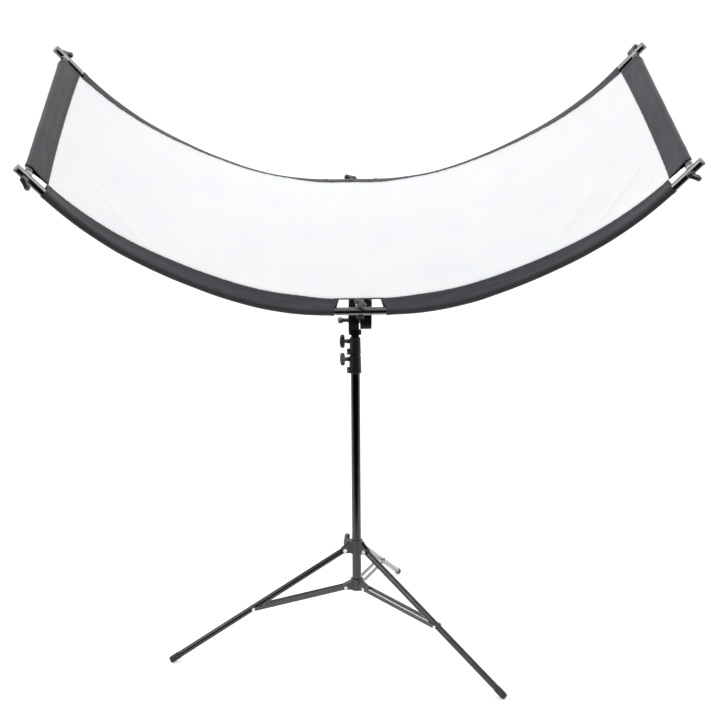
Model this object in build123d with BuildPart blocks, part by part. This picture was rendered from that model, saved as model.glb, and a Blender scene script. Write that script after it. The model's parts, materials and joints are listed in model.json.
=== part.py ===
"""Curved clamshell reflector on a folding light stand, in millimetres.

The origin is on the floor, under the column's axis. +Z is up, +X is to the operator's right, and the
reflector's low edge is towards -Y. The reflector is drawn in its own tilted frame, FRAME: x runs across the
reflector, y runs along the crossbars from the front rail to the rear rail, and z points to the hollow side.
"""

import os
from math import asin, cos, degrees, hypot, pi, radians, sin

from build123d import *

# Light stand: tube radii and walls
TUBE_WALL = 1.0
COLUMN_RADIUS = 12.5
MID_RADIUS = 11.0
TOP_RADIUS = 9.5
LEG_RADIUS = 8.5

# Light stand: heights with the sections pushed together
COLUMN_BOTTOM = 153.0
COLUMN_TOP = 788.0
MID_BOTTOM = 190.0
MID_TOP = 836.0
TOP_BOTTOM = 215.0
TOP_TOP = 857.0
LOWER_COLLAR = (759.0, 807.0)
UPPER_COLLAR = (809.0, 856.0)
LOWER_KNOB_HEIGHT = 797.0
UPPER_KNOB_HEIGHT = 845.5
SPIGOT_RADIUS = 8.0

# Light stand: three legs with their braces
LEG_AZIMUTHS = (193.1, 313.1, 73.1)
HUB_PIVOT = (35.0, 267.0)
SPIDER_PIVOT = (35.0, 161.0)
FOOT_END = (519.0, 5.8)
BRACE_SHARE = 0.532
FOOT_CAP_RADIUS = 10.0
FOOT_CAP_LENGTH = 30.0
HUB_RADIUS = 17.0
HUB_BOTTOM = 255.0
HUB_TOP = 293.0
HUB_KNOB_AZIMUTH = 133.1
HUB_KNOB_HEIGHT = 283.0
HUB_BOLT_AZIMUTH = 13.1
HUB_BOLT_HEIGHT = 280.0
SPIDER_BOTTOM = 150.0
SPIDER_TOP = 182.0
EAR_GAP = 9.0
EAR_THICKNESS = 3.5
PIVOT_RADIUS = 3.0
BRACE_SPACING = 20.0
BRACE_THICKNESS = 1.5
BRACE_WIDTH = 11.0
BRACE_RIVET_RADIUS = 2.5

# T-knobs, each moulded round its threaded stud
STUD_RADIUS = 3.0
TILT_STUD_RADIUS = 4.0
KNOB_BAR_LENGTH = 35.0
KNOB_BAR_WIDTH = 12.0
KNOB_BAR_DEPTH = 12.0
KNOB_STEM_RADIUS = 5.2
KNOB_SEAT_GAP = 0.3
STUD_TIP_GAP = 0.3

# Fits, on the radius
RUNNING_GAP = 0.05
PRESSED_GAP = 0.02
PLUG_GAP = 0.03
SLIDING_GAP = 0.3
THROUGH = 40.0

# Tilting bracket
TILT_PIVOT_HEIGHT = 902.0
TILT_ANGLE = 26.4
ARM_LENGTH = 216.0
CLAMP_OFFSET = 44.0
HEAD_FLANGE = (864.0, 876.0)
HEAD_BLOCK = (-17.0, 10.0)
ARM_CHEEK = (14.0, 43.0)
HEAD_CHEEK_RADIUS = 23.0
ARM_CHEEK_RADIUS = 24.0
ARM_HALF_DEPTH = 14.0
ARM_SHOULDER = (31.0, 66.0)
ARM_NECK_TOP = 201.0
SADDLE_HALF_WIDTH = 20.0
SADDLE_HALF_LENGTH = 16.0
CLAMP_SCREW_OFFSET = 15.5
CLAMP_SCREW_RADIUS = 2.0
CLAMP_HALF_GAP = 0.3
CLAMP_CAP_HEIGHT = 13.2

# Reflector frame: a half rail is straight, then three tangent arcs (radius, turn in degrees), then straight
RAIL_SPACING = 600.0
HALF_STRAIGHT = 66.0
RAIL_ARCS = ((618.0, 22.2), (1244.0, 11.0), (784.0, 18.8))
END_STRAIGHT = 88.0
RAIL_RADIUS = 8.0
RAIL_WALL = 1.2
SOCKET_RADIUS = 9.5
SOCKET_BORE = 8.1
JOINER_HALF_LENGTH = 60.0
RAIL_PLUG = 40.0
END_BAR_INSET = 34.0
END_CAP_LENGTH = 5.0
CROSSBAR_RADIUS = 9.5
CROSSBAR_WALL = 1.2

# Fabric
SLEEVE_OUTER = 10.4
SLEEVE_INNER = 8.6
HEM_INSET = 26.5
WINDOW_RAISE = 17.0
MIDDLE_RAISE = 23.5
END_RAISE = 7.0
RISE_LENGTH = 120.0
HEM_RADIUS = 1.5
PANEL_THICKNESS = 2.0
PANEL_HALF_WIDTH = 271.5
BAND_HALF_LENGTH = 277.0
BAND_OUTER = 12.2
BAND_INNER = 10.4
BAND_REACH = 50.0

# Sizes that follow from the driving ones
STRAPS = (-1, 1)
SIDES = {"left": -1, "right": 1}
ENDS = {"front": -1, "rear": 1}
LEG_RUN = (FOOT_END[0] - HUB_PIVOT[0], FOOT_END[1] - HUB_PIVOT[1])
LEG_LENGTH = hypot(*LEG_RUN)
KNEE = (HUB_PIVOT[0] + BRACE_SHARE * LEG_RUN[0], HUB_PIVOT[1] + BRACE_SHARE * LEG_RUN[1])
BRACE_LENGTH = hypot(KNEE[0] - SPIDER_PIVOT[0], KNEE[1] - SPIDER_PIVOT[1])
RAIL_LENGTH = HALF_STRAIGHT + sum(radius * radians(turn) for radius, turn in RAIL_ARCS) + END_STRAIGHT
ARCS_END = RAIL_LENGTH - END_STRAIGHT
END_BAR_PLACE = RAIL_LENGTH - END_BAR_INSET
CROSSBAR_HALF = RAIL_SPACING / 2 - SOCKET_RADIUS - 4


def tilted_frame():
    """The reflector's frame: its origin is halfway between the rails, on the centre crossbar's axis."""
    up_bar = Vector(0, cos(radians(TILT_ANGLE)), sin(radians(TILT_ANGLE)))
    hollow = Vector(0, -sin(radians(TILT_ANGLE)), cos(radians(TILT_ANGLE)))
    centre = Vector(0, 0, TILT_PIVOT_HEIGHT) + hollow * ARM_LENGTH + up_bar * CLAMP_OFFSET
    return Plane(origin=centre, x_dir=(1, 0, 0), z_dir=hollow)


FRAME = tilted_frame()
UP_BAR = FRAME.y_dir
HOLLOW = FRAME.z_dir


def save(part, label):
    """Name a finished piece and write it."""
    part.label = label
    export_step(part, f"parts/{label}.step")


def tube(plane, length, outer, inner):
    """A round tube standing on a plane, inside the part being built."""
    with BuildSketch(plane) as ring:
        Circle(outer)
        Circle(inner, mode=Mode.SUBTRACT)
    extrude(ring.sketch, amount=length)


def rod(plane, length, radius, mode=Mode.ADD):
    """A round rod, or a round hole, standing on a plane."""
    with BuildSketch(plane) as disc:
        Circle(radius)
    extrude(disc.sketch, amount=length, mode=mode)


def tee_knob(seat, stud_length, stem_length, stud_radius, label):
    """T-knob with its stud. The seat's z points away from the clamped piece and its x lies along the bar."""
    out = Axis(seat.origin, seat.z_dir)
    with BuildPart() as knob:
        rod(seat.offset(-stud_length), stud_length + stem_length, stud_radius)
        rod(seat.offset(KNOB_SEAT_GAP), stem_length, KNOB_STEM_RADIUS)
        with BuildSketch(seat.offset(stem_length)):
            SlotOverall(KNOB_BAR_LENGTH, KNOB_BAR_WIDTH)
        extrude(amount=KNOB_BAR_DEPTH)
        fillet(knob.faces().sort_by(out)[-1].edges(), 3)
    save(knob.part, label)


def turned(seat, angle):
    """The seat with its x turned about its z, so that a knob's bar points another way."""
    bar = seat.x_dir * cos(radians(angle)) + seat.y_dir * sin(radians(angle))
    return Plane(origin=seat.origin, x_dir=bar, z_dir=seat.z_dir)


# Light stand: the vertical tubes


def section_tube(bottom, top, radius, label):
    with BuildPart() as section:
        tube(Plane.XY.offset(bottom), top - bottom, radius, radius - TUBE_WALL)
    save(section.part, label)


def glide(tube_bottom, ring_height, ring_radius, plug_radius, plug_height, label):
    """Bush in the bottom of an inner tube, whose ring slides in the tube outside it."""
    bore = plug_radius - 2
    with BuildPart() as bush:
        tube(Plane.XY.offset(tube_bottom - ring_height), ring_height, ring_radius, bore)
        tube(Plane.XY.offset(tube_bottom), plug_height, plug_radius, bore)
    save(bush.part, label)


def spigot():
    """Stud on the top tube that the tilting head turns on, with a plug inside the tube."""
    plug_depth = 50.0
    stud_height = 31.0
    groove_height, groove_width, groove_radius = 12.0, 8.0, 7.0
    with BuildPart() as stud:
        rod(Plane.XY.offset(TOP_TOP - plug_depth), plug_depth, TOP_RADIUS - TUBE_WALL)
        rod(Plane.XY.offset(TOP_TOP), stud_height, SPIGOT_RADIUS)
        with BuildSketch(Plane.XY.offset(TOP_TOP + groove_height)):
            Circle(SPIGOT_RADIUS + 1)
            Circle(groove_radius, mode=Mode.SUBTRACT)
        extrude(amount=groove_width, mode=Mode.SUBTRACT)
        chamfer(stud.faces().sort_by(Axis.Z)[-1].edges(), 1)
    save(stud.part, "spigot")


def collar(span, radii, lower_bore, step, upper_bore, knob_height, name):
    """Clamp collar on the top of an outer tube: a split lug with a screw below, and a knob's boss above."""
    bottom, top = span
    edge = 1.5
    lug_bottom, lug_height, lug_reach, lug_width = bottom + 1.5, 14.0, 22.0, 15.0
    lug_middle = lug_bottom + lug_height / 2
    slot_width, slot_height = 2.0, lug_height + 4
    boss_reach, boss_radius = 20.0, 6.0
    screw_x, screw_radius, head_radius = -18.5, 2.0, 3.4
    knob_axis = Plane(origin=(0, 0, knob_height), z_dir=(-1, 0, 0))
    with BuildPart() as clamp:
        with BuildSketch(Plane.XZ):
            with BuildLine():
                Polyline(
                    (0, bottom),
                    (radii[0] - edge, bottom),
                    (radii[0], bottom + edge),
                    (radii[1], top - edge),
                    (radii[1] - edge, top),
                    (0, top),
                    close=True,
                )
            make_face()
        revolve(axis=Axis.Z)
        with BuildSketch(Plane.XY.offset(lug_bottom)):
            with Locations((-lug_reach / 2, 0)):
                Rectangle(lug_reach, lug_width)
        extrude(amount=lug_height)
        rod(knob_axis, boss_reach, boss_radius)
        with BuildSketch(Plane.XY.offset(bottom)):
            with Locations((-lug_reach, 0)):
                Rectangle(2 * lug_reach, slot_width)
        extrude(amount=slot_height, mode=Mode.SUBTRACT)
        rod(Plane.XY.offset(bottom - 1), step - bottom + 1, lower_bore, mode=Mode.SUBTRACT)
        rod(Plane.XY.offset(step), top - step + 1, upper_bore, mode=Mode.SUBTRACT)
        rod(knob_axis, boss_reach + 1, STUD_RADIUS + RUNNING_GAP, mode=Mode.SUBTRACT)
        rod(
            Plane(origin=(screw_x, lug_width, lug_middle), z_dir=(0, -1, 0)),
            2 * lug_width,
            screw_radius + RUNNING_GAP,
            mode=Mode.SUBTRACT,
        )
    save(clamp.part, f"{name}_collar")
    with BuildPart() as screw:
        front = Plane(origin=(screw_x, -lug_width / 2, lug_middle), z_dir=(0, -1, 0))
        rod(front.offset(-lug_width - 3), lug_width + 3, screw_radius)
        rod(front, 2.5, head_radius)
        with BuildSketch(Plane(origin=(screw_x, lug_width / 2, lug_middle), z_dir=(0, 1, 0))):
            RegularPolygon(head_radius, 6)
            Circle(screw_radius + RUNNING_GAP, mode=Mode.SUBTRACT)
        extrude(amount=3)
    save(screw.part, f"{name}_collar_screw")
    return Plane(origin=(-boss_reach, 0, knob_height), x_dir=(0, 0, 1), z_dir=(-1, 0, 0))


def collars():
    lower_seat = collar(
        LOWER_COLLAR,
        (16.3, 15.4),
        COLUMN_RADIUS + PRESSED_GAP,
        COLUMN_TOP,
        MID_RADIUS + 0.4,
        LOWER_KNOB_HEIGHT,
        "lower",
    )
    upper_seat = collar(
        UPPER_COLLAR,
        (15.4, 14.4),
        MID_RADIUS + PRESSED_GAP,
        MID_TOP,
        TOP_RADIUS + 0.4,
        UPPER_KNOB_HEIGHT,
        "upper",
    )
    reach = -lower_seat.origin.X - STUD_TIP_GAP
    stem = 7.0
    tee_knob(turned(lower_seat, 35), reach - MID_RADIUS, stem, STUD_RADIUS, "lower_collar_knob")
    tee_knob(turned(upper_seat, 6), reach - TOP_RADIUS, stem, STUD_RADIUS, "upper_collar_knob")


# Light stand: hub, legs, braces and spider


def radial_plane(azimuth):
    """Vertical plane through the column's axis: x is the distance from the axis, y is the height."""
    turn = radians(azimuth)
    return Plane(origin=(0, 0, 0), x_dir=(cos(turn), sin(turn), 0), z_dir=(sin(turn), -cos(turn), 0))


def in_plane(plane, place):
    return plane.from_local_coords((*place, 0))


def along(plane, start, end):
    """Plane at a place in a radial plane, facing along the line to another place."""
    run = in_plane(plane, end) - in_plane(plane, start)
    return Plane(origin=in_plane(plane, start), x_dir=plane.z_dir, z_dir=run)


def ear_outline(plane, pivot, radius, low, high):
    """Lug from the barrel to a pivot: the hull of the pivot's eye and a root inside the barrel."""
    root_depth, root_width = 2.0, 3.0
    with BuildSketch(plane) as outline:
        with Locations(pivot):
            Circle(radius)
        with Locations((HUB_RADIUS - root_depth, (low + high) / 2)):
            Rectangle(root_width, high - low)
        make_hull()
    return outline.sketch


def pivot_pins(pivot, radius, half_grip, head_radius, head_height, label):
    """Three rivets, one at each leg's pivot, across the radial direction."""
    with BuildPart() as pins:
        for azimuth in LEG_AZIMUTHS:
            plane = radial_plane(azimuth)
            centre = Plane(origin=in_plane(plane, pivot), x_dir=plane.x_dir, z_dir=plane.z_dir)
            rod(centre.offset(-half_grip - head_height), 2 * (half_grip + head_height), radius)
            rod(centre.offset(half_grip), head_height, head_radius)
            rod(centre.offset(-half_grip - head_height), head_height, head_radius)
    save(pins.part, label)


def hub():
    """Casting that slides on the column and carries the legs, with its knob's boss and a bolt opposite."""
    half_width = EAR_GAP / 2 + EAR_THICKNESS
    height, middle = HUB_TOP - HUB_BOTTOM, (HUB_BOTTOM + HUB_TOP) / 2
    ear_radius, ear_inset = 8.0, 3.0
    boss_reach, boss_radius = 24.0, 6.5
    bolt_radius, bolt_boss_radius, bolt_head_radius, bolt_reach = 2.5, 6.0, 4.6, HUB_RADIUS + 3
    bolt_start = COLUMN_RADIUS + 0.6
    out = Vector(cos(radians(HUB_KNOB_AZIMUTH)), sin(radians(HUB_KNOB_AZIMUTH)), 0)
    knob_plane = Plane(origin=(0, 0, HUB_KNOB_HEIGHT), z_dir=out)
    bolt_out = Vector(cos(radians(HUB_BOLT_AZIMUTH)), sin(radians(HUB_BOLT_AZIMUTH)), 0)
    bolt_plane = Plane(origin=(0, 0, HUB_BOLT_HEIGHT), z_dir=bolt_out)
    with BuildPart() as casting:
        rod(Plane.XY.offset(HUB_BOTTOM), height, HUB_RADIUS)
        for azimuth in LEG_AZIMUTHS:
            plane = radial_plane(azimuth)
            low, high = HUB_BOTTOM + ear_inset, HUB_TOP - ear_inset
            outline = ear_outline(plane, HUB_PIVOT, ear_radius, low, high)
            extrude(outline, amount=half_width, both=True)
        chamfer(casting.faces().sort_by(Axis.Z)[-1].edges(), 1)
        for azimuth in LEG_AZIMUTHS:
            plane = radial_plane(azimuth)
            with BuildSketch(plane):
                with Locations((HUB_RADIUS + 1.5 + THROUGH / 2, middle)):
                    Rectangle(THROUGH, height + 10)
            extrude(amount=EAR_GAP / 2, both=True, mode=Mode.SUBTRACT)
            pivot = Plane(origin=in_plane(plane, HUB_PIVOT), z_dir=plane.z_dir)
            rod(pivot.offset(-THROUGH / 2), THROUGH, PIVOT_RADIUS + PRESSED_GAP, mode=Mode.SUBTRACT)
        rod(knob_plane, boss_reach, boss_radius)
        rod(bolt_plane, bolt_reach, bolt_boss_radius)
        rod(Plane.XY.offset(HUB_BOTTOM - 1), height + 2, COLUMN_RADIUS + SLIDING_GAP, mode=Mode.SUBTRACT)
        rod(knob_plane, boss_reach + 1, STUD_RADIUS + RUNNING_GAP, mode=Mode.SUBTRACT)
        rod(bolt_plane, bolt_reach + 1, bolt_radius + RUNNING_GAP, mode=Mode.SUBTRACT)
    save(casting.part, "hub_casting")
    pivot_pins(HUB_PIVOT, PIVOT_RADIUS, half_width, 5.5, 1.8, "leg_rivets")
    with BuildPart() as bolt:
        rod(bolt_plane.offset(bolt_start), bolt_reach - bolt_start, bolt_radius)
        with BuildSketch(bolt_plane.offset(bolt_reach)):
            RegularPolygon(bolt_head_radius, 6)
        extrude(amount=3.5)
    save(bolt.part, "hub_bolt")
    seat = Plane(origin=knob_plane.origin + out * boss_reach, x_dir=(0, 0, 1), z_dir=out)
    stud_length, stem = boss_reach - COLUMN_RADIUS - 0.4, 7.0
    tee_knob(turned(seat, 12), stud_length, stem, STUD_RADIUS, "hub_knob")


def spider():
    """Fixed casting at the foot of the column, with a single lug for each brace."""
    lug_half_width, lug_radius = BRACE_SPACING / 2 - BRACE_THICKNESS / 2 - 0.35, 6.5
    with BuildPart() as casting:
        rod(Plane.XY.offset(SPIDER_BOTTOM), SPIDER_TOP - SPIDER_BOTTOM, HUB_RADIUS)
        for azimuth in LEG_AZIMUTHS:
            plane = radial_plane(azimuth)
            outline = ear_outline(plane, SPIDER_PIVOT, lug_radius, SPIDER_BOTTOM + 2, SPIDER_TOP - 6)
            extrude(outline, amount=lug_half_width, both=True)
            pivot = Plane(origin=in_plane(plane, SPIDER_PIVOT), z_dir=plane.z_dir)
            rod(pivot.offset(-THROUGH / 2), THROUGH, BRACE_RIVET_RADIUS + PRESSED_GAP, mode=Mode.SUBTRACT)
        rod(Plane.XY.offset(COLUMN_BOTTOM), THROUGH, COLUMN_RADIUS + PRESSED_GAP, mode=Mode.SUBTRACT)
        chamfer(casting.faces().sort_by(Axis.Z)[-1].edges().sort_by(SortBy.LENGTH)[-1], 1)
    save(casting.part, "spider_casting")
    half_grip = BRACE_SPACING / 2 + BRACE_THICKNESS / 2 + 0.3
    pivot_pins(SPIDER_PIVOT, BRACE_RIVET_RADIUS, half_grip, 4.5, 1.6, "spider_rivets")


def leg(index, azimuth):
    """A leg: its tube, the tongued plug in its top, and its foot cap, cut flat on the floor."""
    plane = radial_plane(azimuth)
    down = along(plane, HUB_PIVOT, FOOT_END)
    tube_start, tube_end = 13.0, LEG_LENGTH - 5
    bore = LEG_RADIUS - TUBE_WALL
    tongue, tongue_radius, shoulder, plug_depth = EAR_GAP - 0.7, 7.0, 3.0, 26.0
    cap_start = LEG_LENGTH - FOOT_CAP_LENGTH
    floor_size, floor_depth = 2000.0, 50.0
    with BuildPart() as shaft:
        tube(down.offset(tube_start), tube_end - tube_start, LEG_RADIUS, bore)
    save(shaft.part, f"leg_tube_{index}")
    with BuildPart() as plug:
        rod(down.offset(tube_start), plug_depth, bore - PLUG_GAP)
        rod(down.offset(tube_start - shoulder), shoulder, LEG_RADIUS)
        with BuildSketch(plane):
            with Locations(HUB_PIVOT):
                Circle(tongue_radius)
            with Locations(plane.to_local_coords(down.offset(tube_start - 2 * shoulder).origin)):
                Circle(tongue_radius)
            make_hull()
        extrude(amount=tongue / 2, both=True)
        pivot = Plane(origin=in_plane(plane, HUB_PIVOT), z_dir=plane.z_dir)
        rod(pivot.offset(-THROUGH / 2), THROUGH, PIVOT_RADIUS + RUNNING_GAP, mode=Mode.SUBTRACT)
    save(plug.part, f"leg_plug_{index}")
    with BuildPart() as cap:
        rod(down.offset(cap_start), FOOT_CAP_LENGTH, FOOT_CAP_RADIUS)
        rod(down.offset(cap_start), tube_end - cap_start, LEG_RADIUS + PRESSED_GAP, mode=Mode.SUBTRACT)
        with BuildSketch(Plane.XY):
            Rectangle(floor_size, floor_size)
        extrude(amount=-floor_depth, mode=Mode.SUBTRACT)
    save(cap.part, f"foot_cap_{index}")


def brace(index, azimuth):
    """A brace: two flat straps that stand either side of the leg, and the rivets at their outer ends."""
    head_radius, head_height = 4.5, 1.8
    plane = radial_plane(azimuth)
    slope = degrees(asin((KNEE[1] - SPIDER_PIVOT[1]) / BRACE_LENGTH))
    middle = ((KNEE[0] + SPIDER_PIVOT[0]) / 2, (KNEE[1] + SPIDER_PIVOT[1]) / 2)
    with BuildPart() as straps:
        for strap in STRAPS:
            inner = strap * BRACE_SPACING / 2 - BRACE_THICKNESS / 2
            with BuildSketch(plane.offset(inner)):
                with Locations(Location((*middle, 0), (0, 0, slope))):
                    SlotCenterToCenter(BRACE_LENGTH, BRACE_WIDTH)
                with Locations(SPIDER_PIVOT):
                    Circle(BRACE_RIVET_RADIUS + RUNNING_GAP, mode=Mode.SUBTRACT)
                with Locations(KNEE):
                    Circle(BRACE_RIVET_RADIUS + PRESSED_GAP, mode=Mode.SUBTRACT)
            extrude(amount=BRACE_THICKNESS)
    save(straps.part, f"brace_straps_{index}")
    with BuildPart() as rivets:
        knee = Plane(origin=in_plane(plane, KNEE), z_dir=plane.z_dir)
        for strap in STRAPS:
            inner_face = strap * (BRACE_SPACING - BRACE_THICKNESS) / 2
            outer_face = strap * (BRACE_SPACING + BRACE_THICKNESS) / 2
            rod(knee.offset(inner_face), outer_face - inner_face, BRACE_RIVET_RADIUS)
            rod(knee.offset(outer_face), strap * head_height, head_radius)
    save(rivets.part, f"brace_rivets_{index}")


# Tilting bracket


def side_plane(x):
    """Vertical plane across the pivot's axis, in line with the tilted frame."""
    return Plane(origin=(x, 0, TILT_PIVOT_HEIGHT), x_dir=UP_BAR, z_dir=(1, 0, 0))


def tilt_head():
    """Casting that turns on the spigot, with the tilt pivot's fixed cheek above its flange."""
    bottom = TOP_TOP + 0.5
    neck_radius, flange_radius = 10.5, 17.0
    foot_width, foot_height = 26.0, 4.0
    bore_depth, washer_radius = 33.5, 8.0
    cheek = Plane(origin=(HEAD_BLOCK[0], 0, TILT_PIVOT_HEIGHT), x_dir=(0, 1, 0), z_dir=(1, 0, 0))
    with BuildPart() as head:
        rod(Plane.XY.offset(bottom), HEAD_FLANGE[0] - bottom, neck_radius)
        rod(Plane.XY.offset(HEAD_FLANGE[0]), HEAD_FLANGE[1] - HEAD_FLANGE[0], flange_radius)
        chamfer(head.faces().sort_by(Axis.Z)[-1].edges(), 1.5)
        with BuildSketch(cheek):
            Circle(HEAD_CHEEK_RADIUS)
            with Locations((0, HEAD_FLANGE[1] - 1 - TILT_PIVOT_HEIGHT)):
                Rectangle(foot_width, foot_height)
            make_hull()
        extrude(amount=HEAD_BLOCK[1] - HEAD_BLOCK[0])
        rod(Plane.XY.offset(bottom - 1), bore_depth, SPIGOT_RADIUS + RUNNING_GAP, mode=Mode.SUBTRACT)
        rod(side_plane(HEAD_BLOCK[0] - 1), THROUGH, TILT_STUD_RADIUS + RUNNING_GAP, mode=Mode.SUBTRACT)
    save(head.part, "tilt_head")
    with BuildPart() as washer:
        washer_height = ARM_CHEEK[0] - HEAD_BLOCK[1] - 0.1
        tube(side_plane(HEAD_BLOCK[1]), washer_height, washer_radius, TILT_STUD_RADIUS + 0.2)
    save(washer.part, "friction_washer")
    seat = Plane(origin=(HEAD_BLOCK[0], 0, TILT_PIVOT_HEIGHT), x_dir=(0, 1, 0), z_dir=(-1, 0, 0))
    stem = 15.0
    tee_knob(seat, ARM_CHEEK[1] - 2 - HEAD_BLOCK[0], stem, TILT_STUD_RADIUS, "tilt_knob")


def tilt_arm():
    """Arm from the tilt pivot to the centre crossbar: a cheek, a shoulder, a neck and a saddle."""
    shoulder_width, shoulder_middle = ARM_CHEEK[1] - HEAD_BLOCK[0], (ARM_CHEEK[1] + HEAD_BLOCK[0]) / 2
    neck_width, neck_depth, neck_bottom = 22.0, 20.0, ARM_SHOULDER[1] + 24
    nut_plane, nut_pocket = side_plane(ARM_CHEEK[1] - 6.5), 6.6
    with BuildPart() as arm:
        with BuildSketch(side_plane(ARM_CHEEK[0])):
            Circle(ARM_CHEEK_RADIUS)
            with Locations((0, ARM_SHOULDER[0] + 2)):
                Rectangle(2 * ARM_HALF_DEPTH, 4)
            make_hull()
        extrude(amount=ARM_CHEEK[1] - ARM_CHEEK[0])
        with BuildSketch(arm_plane(ARM_SHOULDER[0])):
            with Locations((shoulder_middle, 0)):
                Rectangle(shoulder_width, 2 * ARM_HALF_DEPTH)
        extrude(amount=ARM_SHOULDER[1] - ARM_SHOULDER[0])
        with BuildSketch(arm_plane(ARM_SHOULDER[1])):
            with Locations((shoulder_middle, 0)):
                Rectangle(shoulder_width, 2 * ARM_HALF_DEPTH)
        with BuildSketch(arm_plane(neck_bottom)):
            Rectangle(neck_width, neck_depth)
        loft()
        with BuildSketch(arm_plane(neck_bottom)):
            Rectangle(neck_width, neck_depth)
        extrude(amount=ARM_NECK_TOP - neck_bottom)
        with BuildSketch(arm_plane(ARM_NECK_TOP)):
            Rectangle(2 * SADDLE_HALF_WIDTH, 2 * SADDLE_HALF_LENGTH)
        extrude(amount=ARM_LENGTH - CLAMP_HALF_GAP - ARM_NECK_TOP)
        rod(bar_plane(-THROUGH), 2 * THROUGH, CROSSBAR_RADIUS + RUNNING_GAP, mode=Mode.SUBTRACT)
        rod(side_plane(0), 2 * THROUGH, TILT_STUD_RADIUS + RUNNING_GAP, mode=Mode.SUBTRACT)
        with BuildSketch(nut_plane):
            RegularPolygon(nut_pocket, 6, major_radius=False)
        extrude(amount=THROUGH, mode=Mode.SUBTRACT)
        for place in clamp_screw_planes(ARM_NECK_TOP):
            rod(place, THROUGH / 2, CLAMP_SCREW_RADIUS + RUNNING_GAP, mode=Mode.SUBTRACT)
    save(arm.part, "tilt_arm")
    with BuildPart() as nut:
        with BuildSketch(nut_plane):
            RegularPolygon(nut_pocket - 0.1, 6, major_radius=False)
            Circle(TILT_STUD_RADIUS + RUNNING_GAP, mode=Mode.SUBTRACT)
        extrude(amount=6)
    save(nut.part, "tilt_nut")


def arm_plane(height):
    """Plane across the arm at a height above the tilt pivot."""
    return Plane(origin=Vector(0, 0, TILT_PIVOT_HEIGHT) + HOLLOW * height, x_dir=(1, 0, 0), z_dir=HOLLOW)


def bar_plane(offset):
    """Plane across the centre crossbar, at an offset along it from the clamp's middle."""
    return Plane(origin=arm_plane(ARM_LENGTH).origin + UP_BAR * offset, x_dir=(1, 0, 0), z_dir=UP_BAR)


def clamp_screw_planes(height):
    centre = arm_plane(height)
    return [
        Plane(origin=centre.from_local_coords((side * CLAMP_SCREW_OFFSET, 0, 0)), z_dir=HOLLOW)
        for side in SIDES.values()
    ]


def crossbar_clamp():
    """Cap that closes the arm's saddle over the centre crossbar, and its two screws."""
    thread_end = ARM_LENGTH + CLAMP_CAP_HEIGHT - 2
    head_height, head_radius = 4.0, 3.5
    with BuildPart() as cap:
        with BuildSketch(arm_plane(ARM_LENGTH + CLAMP_HALF_GAP)):
            Rectangle(2 * SADDLE_HALF_WIDTH, 2 * SADDLE_HALF_LENGTH)
        extrude(amount=CLAMP_CAP_HEIGHT - CLAMP_HALF_GAP)
        chamfer(cap.faces().sort_by(Axis(FRAME.origin, HOLLOW))[-1].edges(), 1.5)
        rod(bar_plane(-THROUGH), 2 * THROUGH, CROSSBAR_RADIUS + RUNNING_GAP, mode=Mode.SUBTRACT)
        for place in clamp_screw_planes(ARM_LENGTH):
            rod(place, thread_end - ARM_LENGTH, CLAMP_SCREW_RADIUS + RUNNING_GAP, mode=Mode.SUBTRACT)
    save(cap.part, "crossbar_clamp_cap")
    with BuildPart() as screws:
        for place in clamp_screw_planes(ARM_NECK_TOP):
            rod(place, thread_end - ARM_NECK_TOP - 0.5, CLAMP_SCREW_RADIUS)
            rod(place.offset(-head_height), head_height, head_radius)
    save(screws.part, "crossbar_clamp_screws")


# Reflector frame


def rail_place(distance):
    """Place and heading, in the rail's own plane, at a distance along a half rail from its middle."""
    x, z, heading = min(distance, HALF_STRAIGHT), 0.0, 0.0
    left = max(distance - HALF_STRAIGHT, 0)
    for radius, turn in RAIL_ARCS:
        step = min(left, radius * radians(turn))
        turned = heading + step / radius
        x += radius * (sin(turned) - sin(heading))
        z += radius * (cos(heading) - cos(turned))
        heading = turned
        left -= step
    return x + left * cos(heading), z + left * sin(heading), heading


def station(side, distance, y):
    """Plane at a place beside the rail line: x runs outwards along the rail, y points to the hollow side."""
    x, z, heading = rail_place(distance)
    outward = Vector(1, 0, 0) * side * cos(heading) + HOLLOW * sin(heading)
    return Plane(
        origin=FRAME.from_local_coords((side * x, y, z)),
        x_dir=outward,
        z_dir=UP_BAR * -side,
    )


def hem_raise(distance):
    """Height of the panel's hem over the rail line: level at the middle openings, then up, then down to the ends."""
    share = (distance / ARCS_END) ** 2
    full = MIDDLE_RAISE - (MIDDLE_RAISE - END_RAISE) * share
    past_joiner = max(distance - JOINER_HALF_LENGTH, 0)
    dip = (1 + cos(pi * min(past_joiner / RISE_LENGTH, 1))) / 2
    return full - (full - WINDOW_RAISE) * dip


def rail_line(side, y, start, end_length):
    """Centreline of a half rail, from a start near its middle to a length past its last arc."""
    plane = Plane(origin=FRAME.from_local_coords((0, y, 0)), x_dir=(1, 0, 0), z_dir=-UP_BAR)
    with BuildLine(plane) as line:
        run = Line((side * start, 0), (side * HALF_STRAIGHT, 0))
        for radius, turn in RAIL_ARCS:
            run = JernArc(start=run @ 1, tangent=run % 1, radius=radius, arc_size=side * turn)
        if end_length:
            Line(run @ 1, (run @ 1) + (run % 1) * end_length)
    return line.wire()


def section_plane(line):
    """Plane across the start of a line: x runs along the crossbars."""
    return Plane(origin=line @ 0, x_dir=UP_BAR, z_dir=line % 0)


def rails():
    """The four curved half rails, which plug into the joiners and the end tubes."""
    with BuildPart() as tubes:
        for end in ENDS.values():
            for side in SIDES.values():
                line = rail_line(side, end * RAIL_SPACING / 2, JOINER_HALF_LENGTH - RAIL_PLUG, RAIL_PLUG)
                with BuildSketch(section_plane(line)):
                    Circle(RAIL_RADIUS)
                    Circle(RAIL_RADIUS - RAIL_WALL, mode=Mode.SUBTRACT)
                sweep(path=line)
    save(tubes.part, "curved_rails")


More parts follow.
